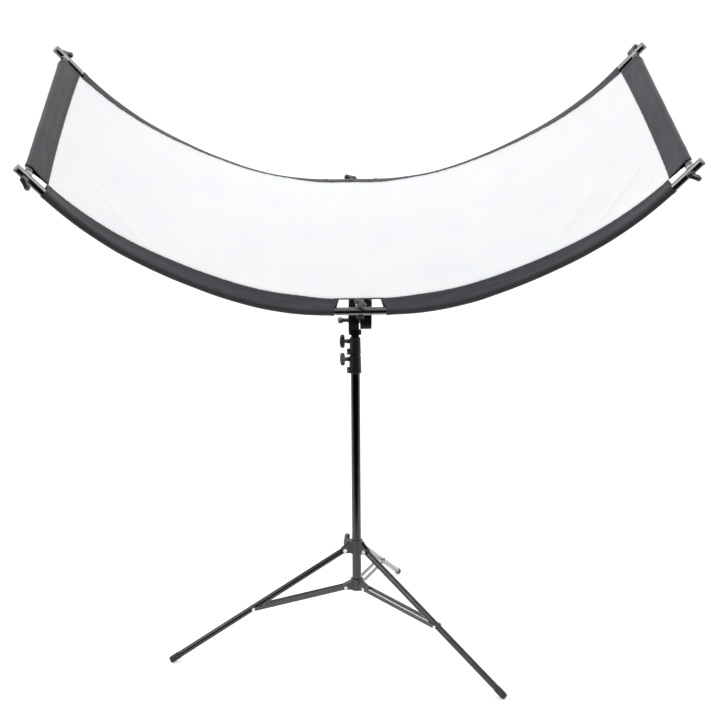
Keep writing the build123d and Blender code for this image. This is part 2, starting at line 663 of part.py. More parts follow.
def joiners():
    """Straight tubes that join the half rails at the middle, front and rear."""
    with BuildPart() as pair:
        for end in ENDS.values():
            y = end * RAIL_SPACING / 2
            start = Plane(origin=FRAME.from_local_coords((-JOINER_HALF_LENGTH, y, 0)), z_dir=(1, 0, 0))
            tube(start, 2 * JOINER_HALF_LENGTH, SOCKET_RADIUS, SOCKET_BORE)
        cross_hole(1, 0, RAIL_SPACING / 2)
        front = Plane(origin=FRAME.from_local_coords((0, -RAIL_SPACING / 2, 0)), z_dir=HOLLOW)
        rod(front.offset(-THROUGH / 2), THROUGH, STUD_RADIUS + RUNNING_GAP, mode=Mode.SUBTRACT)
    save(pair.part, "centre_joiners")


def cross_hole(side, distance, y):
    """Hole for a knob's stud through both walls of a tube."""
    centre = station(side, distance, y)
    rod(centre.offset(-THROUGH / 2), THROUGH, STUD_RADIUS + RUNNING_GAP, mode=Mode.SUBTRACT)


def end_tubes():
    """Straight tubes at the four corners, each drilled for its knob's stud."""
    start, tip = ARCS_END + 0.5, RAIL_LENGTH - END_CAP_LENGTH
    with BuildPart() as tubes:
        for side in SIDES.values():
            for end in ENDS.values():
                y = end * RAIL_SPACING / 2
                place = station(side, start, y)
                tube(Plane(origin=place.origin, z_dir=place.x_dir), tip - start, SOCKET_RADIUS, SOCKET_BORE)
                cross_hole(side, END_BAR_PLACE, y)
    save(tubes.part, "end_tubes")


def end_caps():
    """Round-nosed plugs in the tips of the four end tubes."""
    plug_length, plug_radius = 14.0, SOCKET_BORE - PLUG_GAP
    head_radius, nose = SOCKET_RADIUS + 0.4, 3.0
    shoulder = END_CAP_LENGTH - nose
    face_radius = head_radius - nose
    with BuildPart() as caps:
        for side in SIDES.values():
            for end in ENDS.values():
                place = station(side, RAIL_LENGTH - END_CAP_LENGTH, end * RAIL_SPACING / 2)
                with BuildSketch(place):
                    with BuildLine():
                        Polyline(
                            (END_CAP_LENGTH, face_radius),
                            (END_CAP_LENGTH, 0),
                            (-plug_length, 0),
                            (-plug_length, plug_radius),
                            (0, plug_radius),
                            (0, head_radius),
                            (shoulder, head_radius),
                        )
                        ThreePointArc(
                            (shoulder, head_radius),
                            (shoulder + nose * sin(radians(45)), face_radius + nose * cos(radians(45))),
                            (END_CAP_LENGTH, face_radius),
                        )
                    make_face()
                revolve(axis=Axis(place.origin, place.x_dir))
    save(caps.part, "end_caps")


def bar_places():
    return {"centre": (1, 0.0), "left": (-1, END_BAR_PLACE), "right": (1, END_BAR_PLACE)}


def crossbars():
    """Three straight tubes between the rails, front to rear."""
    for name, (side, distance) in bar_places().items():
        start = Plane(origin=station(side, distance, -CROSSBAR_HALF).origin, z_dir=UP_BAR)
        with BuildPart() as bar:
            tube(start, 2 * CROSSBAR_HALF, CROSSBAR_RADIUS, CROSSBAR_RADIUS - CROSSBAR_WALL)
        save(bar.part, f"{name}_crossbar")


def saddle(side, distance, end):
    """Plug in a crossbar's end, hollowed to sit on the rail's tube and threaded for the knob's stud.

    At the middle of the front rail the knob stands on the hollow side, so its thread is in a tongue below.
    """
    plug_length, head_length = 18.0, 9.0
    place = station(side, distance, end * CROSSBAR_HALF)
    outward = Plane(origin=place.origin, z_dir=UP_BAR * end)
    rod(outward.offset(-plug_length), plug_length, CROSSBAR_RADIUS - CROSSBAR_WALL - PLUG_GAP)
    rod(outward, head_length, CROSSBAR_RADIUS)
    rail = station(side, distance, end * RAIL_SPACING / 2)
    knob_on_hollow_side = distance == 0 and end < 0
    if knob_on_hollow_side:
        tongue()
    across = Plane(origin=rail.origin - rail.x_dir * THROUGH, z_dir=rail.x_dir)
    rod(across, 2 * THROUGH, SOCKET_RADIUS + RUNNING_GAP, mode=Mode.SUBTRACT)
    if knob_on_hollow_side:
        thread = Plane(origin=rail.origin, z_dir=-HOLLOW)
    else:
        thread = outward.offset(-THROUGH / 2)
    rod(thread, THROUGH, STUD_RADIUS + RUNNING_GAP, mode=Mode.SUBTRACT)


def tongue():
    """Tongue of the front middle saddle, which runs under the joiner and takes the knob's stud."""
    width, top, bottom = 16.0, -5.0, -17.0
    tip, web = -RAIL_SPACING / 2 - SOCKET_RADIUS, -CROSSBAR_HALF
    with BuildSketch(FRAME.offset(bottom)) as outline:
        with Locations((0, (tip + web) / 2)):
            RectangleRounded(width, web - tip, 3)
    extrude(outline.sketch, amount=top - bottom)


def saddles():
    with BuildPart() as plugs:
        for side, distance in bar_places().values():
            for end in ENDS.values():
                saddle(side, distance, end)
    save(plugs.part, "crossbar_saddles")


def frame_knobs():
    """Six T-knobs that bolt the rails to the crossbars, each turned to its own angle."""
    bar_angles = {
        ("centre", "front"): -54,
        ("centre", "rear"): 15,
        ("left", "front"): 158,
        ("left", "rear"): 147,
        ("right", "front"): 106,
        ("right", "rear"): 175,
    }
    stud_length, short_stud_length, stem = 34.0, 25.0, 8.0
    for name, (side, distance) in bar_places().items():
        for end_name, end in ENDS.items():
            place = station(side, distance, end * (RAIL_SPACING / 2 + SOCKET_RADIUS))
            seat = Plane(origin=place.origin, x_dir=place.x_dir, z_dir=UP_BAR * end)
            reach = stud_length
            if (name, end_name) == ("centre", "front"):
                top = FRAME.from_local_coords((0, -RAIL_SPACING / 2, SOCKET_RADIUS))
                seat = Plane(origin=top, x_dir=(1, 0, 0), z_dir=HOLLOW)
                reach = short_stud_length
            knob_seat = turned(seat, bar_angles[name, end_name])
            tee_knob(knob_seat, reach, stem, STUD_RADIUS, f"{name}_{end_name}_knob")


# Fabric


def sleeves(end_name):
    """The two long sleeves of one rail: a pocket round the rail that narrows to the hem of the panel."""
    end = ENDS[end_name]
    start, section_count = JOINER_HALF_LENGTH + 2, 14
    with BuildPart() as pair:
        for side in SIDES.values():
            for k in range(section_count):
                distance = start + (ARCS_END - start) * k / (section_count - 1)
                place = station(side, distance, end * RAIL_SPACING / 2)
                with BuildSketch(Plane(origin=place.origin, x_dir=UP_BAR, z_dir=place.x_dir)):
                    Circle(SLEEVE_OUTER)
                    with Locations((-end * HEM_INSET, side * hem_raise(distance))):
                        Circle(HEM_RADIUS)
                    make_hull()
            loft()
            line = rail_line(side, end * RAIL_SPACING / 2, start, 0)
            with BuildSketch(section_plane(line)):
                Circle(SLEEVE_INNER)
            sweep(path=line, mode=Mode.SUBTRACT)
    save(pair.part, f"{end_name}_sleeves")


def panel_line(extra):
    """Points along the panel from left to right, on its middle surface or at a height above that."""
    step_count = 14
    last = END_BAR_PLACE - BAND_REACH - HEM_RADIUS - 0.4
    points = []
    for k in range(-step_count, step_count + 1):
        side = -1 if k < 0 else 1
        distance = last * abs(k) / step_count
        x, z, heading = rail_place(distance)
        height = hem_raise(distance) + extra
        points.append((side * (x - height * sin(heading)), z + height * cos(heading)))
    return points


def panel():
    """The reflecting panel: one thin sheet from band to band, on the rails' hollow side."""
    upper, lower = panel_line(PANEL_THICKNESS / 2), panel_line(-PANEL_THICKNESS / 2)
    with BuildPart() as sheet:
        with BuildSketch(Plane(origin=FRAME.origin, x_dir=(1, 0, 0), z_dir=-UP_BAR)):
            with BuildLine():
                Spline(*upper)
                Line(upper[-1], lower[-1])
                Spline(*lower)
                Line(lower[0], upper[0])
            make_face()
        extrude(amount=PANEL_HALF_WIDTH, both=True)
    save(sheet.part, "reflector_panel")


def hem_tapes():
    """Bound edges of the panel across the two openings in the middle of the sleeves."""
    inner = PANEL_HALF_WIDTH + 0.5
    width = 4.5
    with BuildPart() as tapes:
        for end in ENDS.values():
            with BuildSketch(FRAME.offset(WINDOW_RAISE - PANEL_THICKNESS / 2)):
                with Locations((0, end * (inner + width / 2))):
                    Rectangle(2 * JOINER_HALF_LENGTH - 2, width)
            extrude(amount=PANEL_THICKNESS)
    save(tapes.part, "hem_tapes")


def end_band(side_name):
    """Wide pocket at one end, from the panel's end round the end crossbar."""
    bar = station(SIDES[side_name], END_BAR_PLACE, 0)
    pocket_tip, pocket_tip_radius = (-BAND_REACH + 6, END_RAISE - 1.4), 0.4
    with BuildPart() as band:
        with BuildSketch(bar):
            Circle(BAND_OUTER)
            with Locations((-BAND_REACH, END_RAISE - 1)):
                Circle(HEM_RADIUS)
            make_hull()
        extrude(amount=BAND_HALF_LENGTH, both=True)
        with BuildSketch(bar):
            Circle(BAND_INNER)
            with Locations(pocket_tip):
                Circle(pocket_tip_radius)
            make_hull()
        extrude(amount=BAND_HALF_LENGTH + 1, both=True, mode=Mode.SUBTRACT)
    save(band.part, f"{side_name}_end_band")


def stand():
    section_tube(COLUMN_BOTTOM, COLUMN_TOP, COLUMN_RADIUS, "column_tube")
    section_tube(MID_BOTTOM, MID_TOP, MID_RADIUS, "mid_tube")
    section_tube(TOP_BOTTOM, TOP_TOP, TOP_RADIUS, "top_tube")
    column_bore = COLUMN_RADIUS - TUBE_WALL
    mid_bore = MID_RADIUS - TUBE_WALL
    top_bore = TOP_RADIUS - TUBE_WALL
    glide(MID_BOTTOM, 16, column_bore - RUNNING_GAP, mid_bore - 0.02, 12, "mid_glide")
    glide(TOP_BOTTOM, 10, mid_bore - RUNNING_GAP, top_bore - 0.02, 15, "top_glide")
    spigot()
    collars()
    hub()
    spider()
    for index, azimuth in enumerate(LEG_AZIMUTHS, start=1):
        leg(index, azimuth)
        brace(index, azimuth)


def reflector():
    tilt_head()
    tilt_arm()
    crossbar_clamp()
    joiners()
    rails()
    end_tubes()
    crossbars()
    saddles()
    frame_knobs()
    end_caps()
    panel()
    hem_tapes()
    for end_name in ENDS:
        sleeves(end_name)
    for side_name in SIDES:
        end_band(side_name)


os.makedirs("parts", exist_ok=True)
stand()
reflector()
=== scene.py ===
"""The looks of the curved reflector on its folding light stand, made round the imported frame. Metres, +Z up.

The soft goods, the T-knobs and the foot caps are modelled here and stand for their CAD solids. Every other
part is the CAD's own, with a better material. Places come from the frame: the reflector's own axes from a
knob's joint, each knob from its joint and its CAD solid, and each foot cap from its leg. The soft goods also
repeat the CAD's rail, hem and crossbar sizes.
"""

import json
from math import acos, atan2, cos, exp, hypot, pi, radians, sin

import bmesh
import bpy
import numpy as np
from mathutils import Matrix, Vector, noise


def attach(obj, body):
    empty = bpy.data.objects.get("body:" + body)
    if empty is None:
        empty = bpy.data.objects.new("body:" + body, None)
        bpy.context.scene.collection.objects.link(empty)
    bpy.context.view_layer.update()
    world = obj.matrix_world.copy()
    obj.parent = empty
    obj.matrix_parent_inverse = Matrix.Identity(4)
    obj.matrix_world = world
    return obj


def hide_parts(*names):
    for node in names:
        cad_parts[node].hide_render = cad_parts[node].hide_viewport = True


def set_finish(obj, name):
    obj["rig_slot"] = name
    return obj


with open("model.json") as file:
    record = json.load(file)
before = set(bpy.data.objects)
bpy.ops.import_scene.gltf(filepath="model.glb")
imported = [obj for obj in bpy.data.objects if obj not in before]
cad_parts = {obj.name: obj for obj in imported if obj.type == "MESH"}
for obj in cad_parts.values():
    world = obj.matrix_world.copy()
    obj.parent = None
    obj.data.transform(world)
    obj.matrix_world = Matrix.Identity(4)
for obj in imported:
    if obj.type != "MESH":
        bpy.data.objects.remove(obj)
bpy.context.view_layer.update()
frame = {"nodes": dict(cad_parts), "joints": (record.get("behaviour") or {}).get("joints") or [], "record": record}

JOINTS = {joint["name"]: joint for joint in frame["joints"]}
NODES = frame["nodes"]

# Rails: a straight middle, three tangent arcs (radius, turn in degrees) and a straight end, as in the CAD
HALF_STRAIGHT = 0.066
RAIL_ARCS = ((0.618, 22.2), (1.244, 11.0), (0.784, 18.8))
END_STRAIGHT = 0.088
HALF_SPACING = 0.300
END_BAR_INSET = 0.034
JOINER_HALF_LENGTH = 0.060
ARCS_END = HALF_STRAIGHT + sum(radius * radians(turn) for radius, turn in RAIL_ARCS)
END_BAR_PLACE = ARCS_END + END_STRAIGHT - END_BAR_INSET

# Fabric
CLOTH = 0.0008
SATIN = 0.0005
HEM_INSET = 0.0265
WINDOW_RAISE = 0.017
MIDDLE_RAISE = 0.0235
END_RAISE = 0.007
RISE_LENGTH = 0.120
HEM_RADIUS = 0.0015
SLEEVE_RADIUS = 0.0101
BAND_RADIUS = 0.0118
BAND_REACH = 0.050
BAND_HALF_LENGTH = 0.271
MOUTH_SLANT = 0.9
BAND_BOW = 0.005
BAND_TIP_LIFT = 0.006
PANEL_HALF_WIDTH = 0.2725
PANEL_CROWN = 0.005

# How much further out than the others a sleeve's outer end lies on its rail, or further in if negative
SLEEVE_SHIFT = {("left", "front"): 0.006, ("left", "rear"): -0.006}

# Tension folds that slant down to the front hem: height, width, distance from the middle and place
# across the panel where the fold begins, and distance where it meets the hem
CORNER_FOLDS = {
    -1: ((0.0019, 0.009, 0.74, -0.11, 0.52), (0.0011, 0.009, 0.62, -0.04, 0.38)),
    1: (
        (0.0019, 0.011, 0.75, 0.00, 0.46),
        (0.0019, 0.008, 0.79, -0.12, 0.57),
        (0.0013, 0.006, 0.80, -0.19, 0.69),
    ),
}

# Seam threads: spacing, length and radius of one stitch
STITCH_PITCH = 0.0034
STITCH_LENGTH = 0.0026
STITCH_RADIUS = 0.00032

# T-knobs: the usual lengths of the stem and the stud, and those that differ
USUAL_STEM = 0.008
STEMS = {"tilt_knob": 0.015, "lower_collar_knob": 0.007, "upper_collar_knob": 0.007, "hub_knob": 0.007}
USUAL_STUD = 0.033
STUDS = {
    "tilt_knob": 0.057,
    "lower_collar_knob": 0.0085,
    "upper_collar_knob": 0.010,
    "hub_knob": 0.011,
    "centre_front_knob": 0.0245,
}
STUD_RADIUS = 0.003
TILT_STUD_RADIUS = 0.004

# Floor and light: how far the floor reaches towards the camera, strengths of the white surroundings by
# direction, and powers of the soft boxes in watts
FLOOR_FRONT = 0.9
FLOOR_RADIUS = 20
FLOOR_DROP = 0.0005
FLOOR_GLOW = 0.26
BACKDROP = 1.02
OVERHEAD = 0.93
LEFT_SIDE = 2.35
RIGHT_SIDE = 2.35
BEHIND = 0.95
DIM = 0.02
KEY = 18
FILL = 10
BOX_SIZE = (1.4, 1.4)

# Camera: turns in degrees, place, and lens and sensor in millimetres
CAMERA_YAW = 2.247
CAMERA_PITCH = 11.591
CAMERA_ROLL = -0.423
CAMERA_PLACE = (-0.1304, -3.3443, 1.4998)
CAMERA_LENS = 65.2
CAMERA_SENSOR = 36.0

# Which way each side and each end lies from the middle
SIDES = {"left": -1, "right": 1}
ENDS = {"front": -1, "rear": 1}

# The reflector's own axes
TUBE_RADIUS = 0.0095
ACROSS = Vector((1, 0, 0))
UP_BAR = Vector(JOINTS["centre_rear_knob_turn"]["axis"]).normalized()
HOLLOW = ACROSS.cross(UP_BAR)
CENTRE = Vector(JOINTS["centre_rear_knob_turn"]["pos_m"]) - UP_BAR * (HALF_SPACING + TUBE_RADIUS)


# Places on the reflector


def rail_place(distance):
    """(x, z, heading) in the rail's plane at a distance along a half rail."""
    x, z, heading = min(distance, HALF_STRAIGHT), 0.0, 0.0
    left = max(distance - HALF_STRAIGHT, 0)
    for radius, turn in RAIL_ARCS:
        step = min(left, radius * radians(turn))
        turned = heading + step / radius
        x += radius * (sin(turned) - sin(heading))
        z += radius * (cos(heading) - cos(turned))
        heading = turned
        left -= step
    return x + left * cos(heading), z + left * sin(heading), heading


def station(side, distance):
    """Outward direction, hollow-side direction and place on the middle line, at a distance along a side."""
    x, z, heading = rail_place(distance)
    along = ACROSS * side * cos(heading) + HOLLOW * sin(heading)
    lift = HOLLOW * cos(heading) - ACROSS * side * sin(heading)
    return along, lift, CENTRE + ACROSS * side * x + HOLLOW * z


def hem_raise(distance):
    """Height of the hem over the rail line: level at the middle openings, then up, then down to the ends."""
    full = MIDDLE_RAISE - (MIDDLE_RAISE - END_RAISE) * (distance / ARCS_END) ** 2
    past_joiner = max(distance - JOINER_HALF_LENGTH, 0)
    dip = (1 + cos(pi * min(past_joiner / RISE_LENGTH, 1))) / 2
    return full - (full - WINDOW_RAISE) * dip


def smooth_step(value):
    """Eases from 0 to 1 as the value goes from 0 to 1."""
    value = min(max(value, 0), 1)
    return value * value * (3 - 2 * value)


def ripple(*place):
    """Soft noise about 0, mostly within 1."""
    return noise.noise(Vector(place)) * 1.6


# Meshes


def new_piece(name, mesh, body, slot, materials):
    """A visible piece that rides on a body, in a material slot of the record."""
    piece = bpy.data.objects.new(name, mesh)
    bpy.context.scene.collection.objects.link(piece)
    for material in materials:
        mesh.materials.append(material)
    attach(piece, body)
    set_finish(piece, slot)
    return piece


def grid_mesh(name, rows, weave, around=False):
    """A mesh of quads from rows of points, with a map in metres for the weave. Around closes each row."""
    columns = len(rows[0])
    steps = columns if around else columns - 1
    mesh = bpy.data.meshes.new(name)
    points = [point for row in rows for point in row]
    faces, corners = [], []
    for i in range(len(rows) - 1):
        for j in range(steps):
            k = (j + 1) % columns
            faces.append((i * columns + j, i * columns + k, (i + 1) * columns + k, (i + 1) * columns + j))
            corners += [weave[i][j], weave[i][j + 1], weave[i + 1][j + 1], weave[i + 1][j]]
    mesh.from_pydata(points, [], faces)
    layer = mesh.uv_layers.new(name="weave")
    layer.data.foreach_set("uv", np.array(corners, np.float32).ravel())
    mesh.polygons.foreach_set("use_smooth", [True] * len(faces))
    mesh.update()
    return mesh


def thicken(piece, thickness, offset=-1):
    """Gives a sheet its thickness: inwards at an offset of -1, and to both sides at 0."""
    shell = piece.modifiers.new("cloth", "SOLIDIFY")
    shell.thickness = thickness
    shell.offset = offset
    shell.use_even_offset = False


def stitches(name, body, parent, runs, material):
    """Rows of short threads. Each run is a list of (place, normal) along a seam."""
    mesh, points, faces = bpy.data.meshes.new(name), [], []
    sides, profile = 5, ((-0.5, 0.35), (-0.3, 1.0), (0.3, 1.0), (0.5, 0.35))
    for run in runs:
        spacing = [0.0]
        for (a, _), (b, _) in zip(run, run[1:]):
            spacing.append(spacing[-1] + (b - a).length)
        step, place = 0, STITCH_PITCH
        while place < spacing[-1] - STITCH_PITCH:
            while spacing[step + 1] < place:
                step += 1
            (a, up_a), (b, up_b) = run[step], run[step + 1]
            share = (place - spacing[step]) / (spacing[step + 1] - spacing[step])
            centre = a.lerp(b, share)
            up = up_a.lerp(up_b, share).normalized()
            along = (b - a).normalized()
            across = along.cross(up)
            start = len(points)
            for shift, width in profile:
                middle = centre + along * shift * STITCH_LENGTH
                crown = up * (0.4 - 2 * shift * shift) * STITCH_RADIUS
                for k in range(sides):
                    turn = 2 * pi * k / sides
                    rise = up * sin(turn) * STITCH_RADIUS * width + crown
                    points.append(middle + across * cos(turn) * STITCH_RADIUS * width + rise)
            for ring in range(len(profile) - 1):
                for k in range(sides):
                    n, m = start + ring * sides, (k + 1) % sides
                    faces.append((n + k, n + m, n + sides + m, n + sides + k))
            faces.append(tuple(start + k for k in reversed(range(sides))))
            faces.append(tuple(start + (len(profile) - 1) * sides + k for k in range(sides)))
            place += STITCH_PITCH
    mesh.from_pydata(points, [], faces)
    mesh.polygons.foreach_set("use_smooth", [True] * len(faces))
    mesh.update()
    return new_piece(name, mesh, body, parent["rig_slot"], [material])


def pocket_outline(radius, tip, tip_radius, counts):
    """Closed outline of cloth drawn tight round a bar at the origin and a seam at tip.

    It starts at the seam's far side, runs over the hollow side, round the bar and back. Each point is
    (place, normal, part), where part is 0 at the seam and 1 on the bar.
    """
    tip_x, tip_y = tip
    reach = hypot(tip_x, tip_y)
    heading, spread = atan2(tip_y, tip_x), acos((radius - tip_radius) / reach)
    turn = -1 if tip_x > 0 else 1
    seam_count, span_count, bar_count = counts
    outline = []

    def arc(centre, size, start, end, count, part):
        """Points round a centre, without the last."""
        for k in range(count):
            angle = start + (end - start) * k / count
            normal = Vector((cos(angle), sin(angle)))
            outline.append((Vector(centre) + normal * size, normal, part))

    def span(angle, backwards):
        """Points of a straight stretch between the seam and the bar, without the last."""
        normal = Vector((cos(angle), sin(angle)))
        start, end = Vector(tip) + normal * tip_radius, normal * radius
        if backwards:
            start, end = end, start
        for k in range(span_count):
            share = k / span_count
            outline.append((start.lerp(end, share), normal, 1 - share if backwards else share))

    upper, lower = heading - turn * spread, heading + turn * spread
    arc(tip, tip_radius, heading, upper, seam_count, 0)
    span(upper, False)
    arc((0, 0), radius, upper, lower - turn * 2 * pi, bar_count, 1)
    span(lower, True)
    arc(tip, tip_radius, lower, heading, seam_count, 0)
    return outline


def lengths_round(outline):
    """Distance round the outline at each point, and once more for the closing one."""
    total = [0.0]
    for k in range(len(outline)):
        total.append(total[-1] + (outline[(k + 1) % len(outline)][0] - outline[k][0]).length)
    return total


# Materials


def link(tree, source, target):
    """Joins an output socket to an input socket."""
    tree.links.new(source, target)


def add(tree, kind, **settings):
    """A new node of a kind, with its settings."""
    node = tree.nodes.new(kind)
    for name, value in settings.items():
        setattr(node, name, value)
    return node


def noise_node(tree, coordinates, scale, detail=3.0, roughness=0.55):
    """Cloudy noise at a scale, per metre."""
    node = add(tree, "ShaderNodeTexNoise")
    node.inputs["Scale"].default_value = scale
    node.inputs["Detail"].default_value = detail
    node.inputs["Roughness"].default_value = roughness
    link(tree, coordinates, node.inputs["Vector"])
    return node.outputs["Fac"]


def ranged(tree, value, low, high, start=0.3, end=0.7):
    """A value moved from the range start to end into the range low to high."""
    node = add(tree, "ShaderNodeMapRange")
    for name, number in (("From Min", start), ("From Max", end), ("To Min", low), ("To Max", high)):
        node.inputs[name].default_value = number
    link(tree, value, node.inputs["Value"])
    return node.outputs["Result"]


def blended(tree, factor, dark, light):
    """A colour between dark and light, by the factor."""
    ramp = add(tree, "ShaderNodeValToRGB")
    ramp.color_ramp.elements[0].position = 0.3
    ramp.color_ramp.elements[1].position = 0.7
    ramp.color_ramp.elements[0].color = (*dark, 1)
    ramp.color_ramp.elements[1].color = (*light, 1)
    link(tree, factor, ramp.inputs["Fac"])
    return ramp.outputs["Color"]


def maths(tree, operation, *values):
    """One step of arithmetic on numbers and sockets."""
    node = add(tree, "ShaderNodeMath", operation=operation)
    for socket, value in zip(node.inputs, values):
        if isinstance(value, (int, float)):
            socket.default_value = value
        else:
            link(tree, value, socket)
    return node.outputs["Value"]


def bumped(tree, height, strength, distance, normal=None):
    """A normal that follows a height, on top of another normal if there is one."""
    node = add(tree, "ShaderNodeBump")
    node.inputs["Strength"].default_value = strength
    node.inputs["Distance"].default_value = distance
    link(tree, height, node.inputs["Height"])
    if normal is not None:
        link(tree, normal, node.inputs["Normal"])
    return node.outputs["Normal"]


def started(name, metallic=0.0, specular=0.5, sheen=0.0, coat=0.0):
    """A new material with its shader's uniform values set."""
    material = bpy.data.materials.new(name)
    material.use_nodes = True
    tree = material.node_tree
    shader = tree.nodes["Principled BSDF"]
    shader.inputs["Metallic"].default_value = metallic
    shader.inputs["Specular IOR Level"].default_value = specular
    shader.inputs["Sheen Weight"].default_value = sheen
    shader.inputs["Sheen Roughness"].default_value = 0.45
    shader.inputs["Coat Weight"].default_value = coat
    shader.inputs["Coat Roughness"].default_value = 0.2
    return material, tree, shader


def object_place(tree):
    """The place on the object, in metres."""
    return add(tree, "ShaderNodeTexCoord").outputs["Object"]


def rounded_edges(tree, radius):
    """A normal that softens edges to a small radius."""
    node = add(tree, "ShaderNodeBevel", samples=4)
    node.inputs["Radius"].default_value = radius
    return node.outputs["Normal"]


def moulded(name, dark, light, roughness, specular=0.5):
    """Moulded plastic or a painted casting: fine grain, cloudy gloss and softened edges."""
    grain, edge = 0.00006, 0.0006
    material, tree, shader = started(name, specular=specular)
    place = object_place(tree)
    cloud = noise_node(tree, place, 55)
    fine = noise_node(tree, place, 1700, detail=2)
    link(tree, blended(tree, cloud, dark, light), shader.inputs["Base Color"])
    gloss = noise_node(tree, place, 160, detail=5)
    link(tree, ranged(tree, gloss, roughness - 0.07, roughness + 0.09), shader.inputs["Roughness"])
    link(tree, bumped(tree, fine, 0.5, grain, rounded_edges(tree, edge)), shader.inputs["Normal"])
    return material


def tube_finish(name, dark, light, roughness):
    """Anodised tube: faint drawing lines, a cloudy tone and thin handling scratches."""
    material, tree, shader = started(name, metallic=1.0, coat=0.5)
    place = object_place(tree)
    cloud = noise_node(tree, place, 24)
    drawn = add(tree, "ShaderNodeMapping")
    drawn.inputs["Scale"].default_value = (900, 900, 12)
    link(tree, place, drawn.inputs["Vector"])
    lines = noise_node(tree, drawn.outputs["Vector"], 1.0, detail=2)
    worn = noise_node(tree, place, 70, detail=8, roughness=0.7)
    scratch = ranged(tree, worn, 0.0, 1.0, start=0.68, end=0.74)
    base = blended(tree, cloud, dark, light)
    mix = add(tree, "ShaderNodeMix", data_type="RGBA")
    mix.inputs["B"].default_value = (*(0.06 + 1.6 * part for part in light), 1)
    link(tree, maths(tree, "MULTIPLY", scratch, 0.5), mix.inputs["Factor"])
    link(tree, base, mix.inputs["A"])
    link(tree, mix.outputs["Result"], shader.inputs["Base Color"])
    link(tree, ranged(tree, lines, roughness - 0.05, roughness + 0.05), shader.inputs["Roughness"])
    link(tree, bumped(tree, lines, 0.12, 0.00004, rounded_edges(tree, 0.0004)), shader.inputs["Normal"])
    return material


def bare_metal(name, dark, light, roughness):
    """Plated steel: a light grain and a cloudy tone."""
    material, tree, shader = started(name, metallic=1.0)
    place = object_place(tree)
    grain = noise_node(tree, place, 420, detail=4)
    cloud = noise_node(tree, place, 90)
    link(tree, blended(tree, cloud, dark, light), shader.inputs["Base Color"])
    link(tree, ranged(tree, grain, roughness - 0.08, roughness + 0.1), shader.inputs["Roughness"])
    link(tree, bumped(tree, grain, 0.2, 0.00005, rounded_edges(tree, 0.0007)), shader.inputs["Normal"])
    return material


def weave_height(tree, pitch):
    """The map in metres, and the height of a plain weave on it: threads over and under, by turns."""
    uv = add(tree, "ShaderNodeUVMap", uv_map="weave").outputs["UV"]
    parts = add(tree, "ShaderNodeSeparateXYZ")
    link(tree, uv, parts.inputs["Vector"])
    along = maths(tree, "SINE", maths(tree, "MULTIPLY", parts.outputs["X"], 2 * pi / pitch))
    across = maths(tree, "SINE", maths(tree, "MULTIPLY", parts.outputs["Y"], 2 * pi / pitch))
    crossing = maths(tree, "MULTIPLY", along, across)
    return uv, maths(tree, "ADD", maths(tree, "MULTIPLY", crossing, 0.5), 0.5)


def cloth(name, dark, light, roughness, pitch, sheen, depth, tint=None, specular=0.3, fleck=0.0):
    """Woven cloth: a real-size weave in colour and bump, patchy tone, lint and a soft sheen."""
    material, tree, shader = started(name, specular=specular, sheen=sheen)
    if tint:
        shader.inputs["Sheen Tint"].default_value = (*tint, 1)
    uv, weave = weave_height(tree, pitch)
    place = object_place(tree)
    patches = noise_node(tree, place, 9, detail=4)
    lint = noise_node(tree, uv, 900, detail=3)
    tone = maths(tree, "MULTIPLY", weave, 0.22)
    tone = maths(tree, "ADD", tone, maths(tree, "MULTIPLY", patches, 0.55))
    tone = maths(tree, "ADD", tone, maths(tree, "MULTIPLY", lint, 0.23))
    link(tree, blended(tree, tone, dark, light), shader.inputs["Base Color"])
    gloss = ranged(tree, lint, roughness - 0.05 - fleck, roughness + 0.06)
    link(tree, gloss, shader.inputs["Roughness"])
    creases = noise_node(tree, place, 38, detail=5, roughness=0.6)
    soft = bumped(tree, creases, 0.16, 0.0012)
    link(tree, bumped(tree, weave, 0.45, depth, soft), shader.inputs["Normal"])
    return material


def saddle_finish(name):
    """Saddles: black at the middle crossbar, bare light alloy at the end ones."""
    end_saddles_begin = 0.3
    material, tree, shader = started(name, metallic=0.2)
    place = object_place(tree)
    parts = add(tree, "ShaderNodeSeparateXYZ")
    link(tree, place, parts.inputs["Vector"])
    from_middle = maths(tree, "ABSOLUTE", parts.outputs["X"])
    outer = maths(tree, "GREATER_THAN", from_middle, end_saddles_begin)
    cloud = noise_node(tree, place, 120)
    mix = add(tree, "ShaderNodeMix", data_type="RGBA")
    link(tree, outer, mix.inputs["Factor"])
    link(tree, blended(tree, cloud, (0.005, 0.005, 0.0055), (0.009, 0.009, 0.010)), mix.inputs["A"])
    link(tree, blended(tree, cloud, (0.42, 0.43, 0.44), (0.52, 0.53, 0.54)), mix.inputs["B"])
    link(tree, mix.outputs["Result"], shader.inputs["Base Color"])
    fine = noise_node(tree, place, 900)
    link(tree, ranged(tree, cloud, 0.38, 0.52), shader.inputs["Roughness"])
    link(tree, bumped(tree, fine, 0.4, 0.00005, rounded_edges(tree, 0.0006)), shader.inputs["Normal"])
    return material


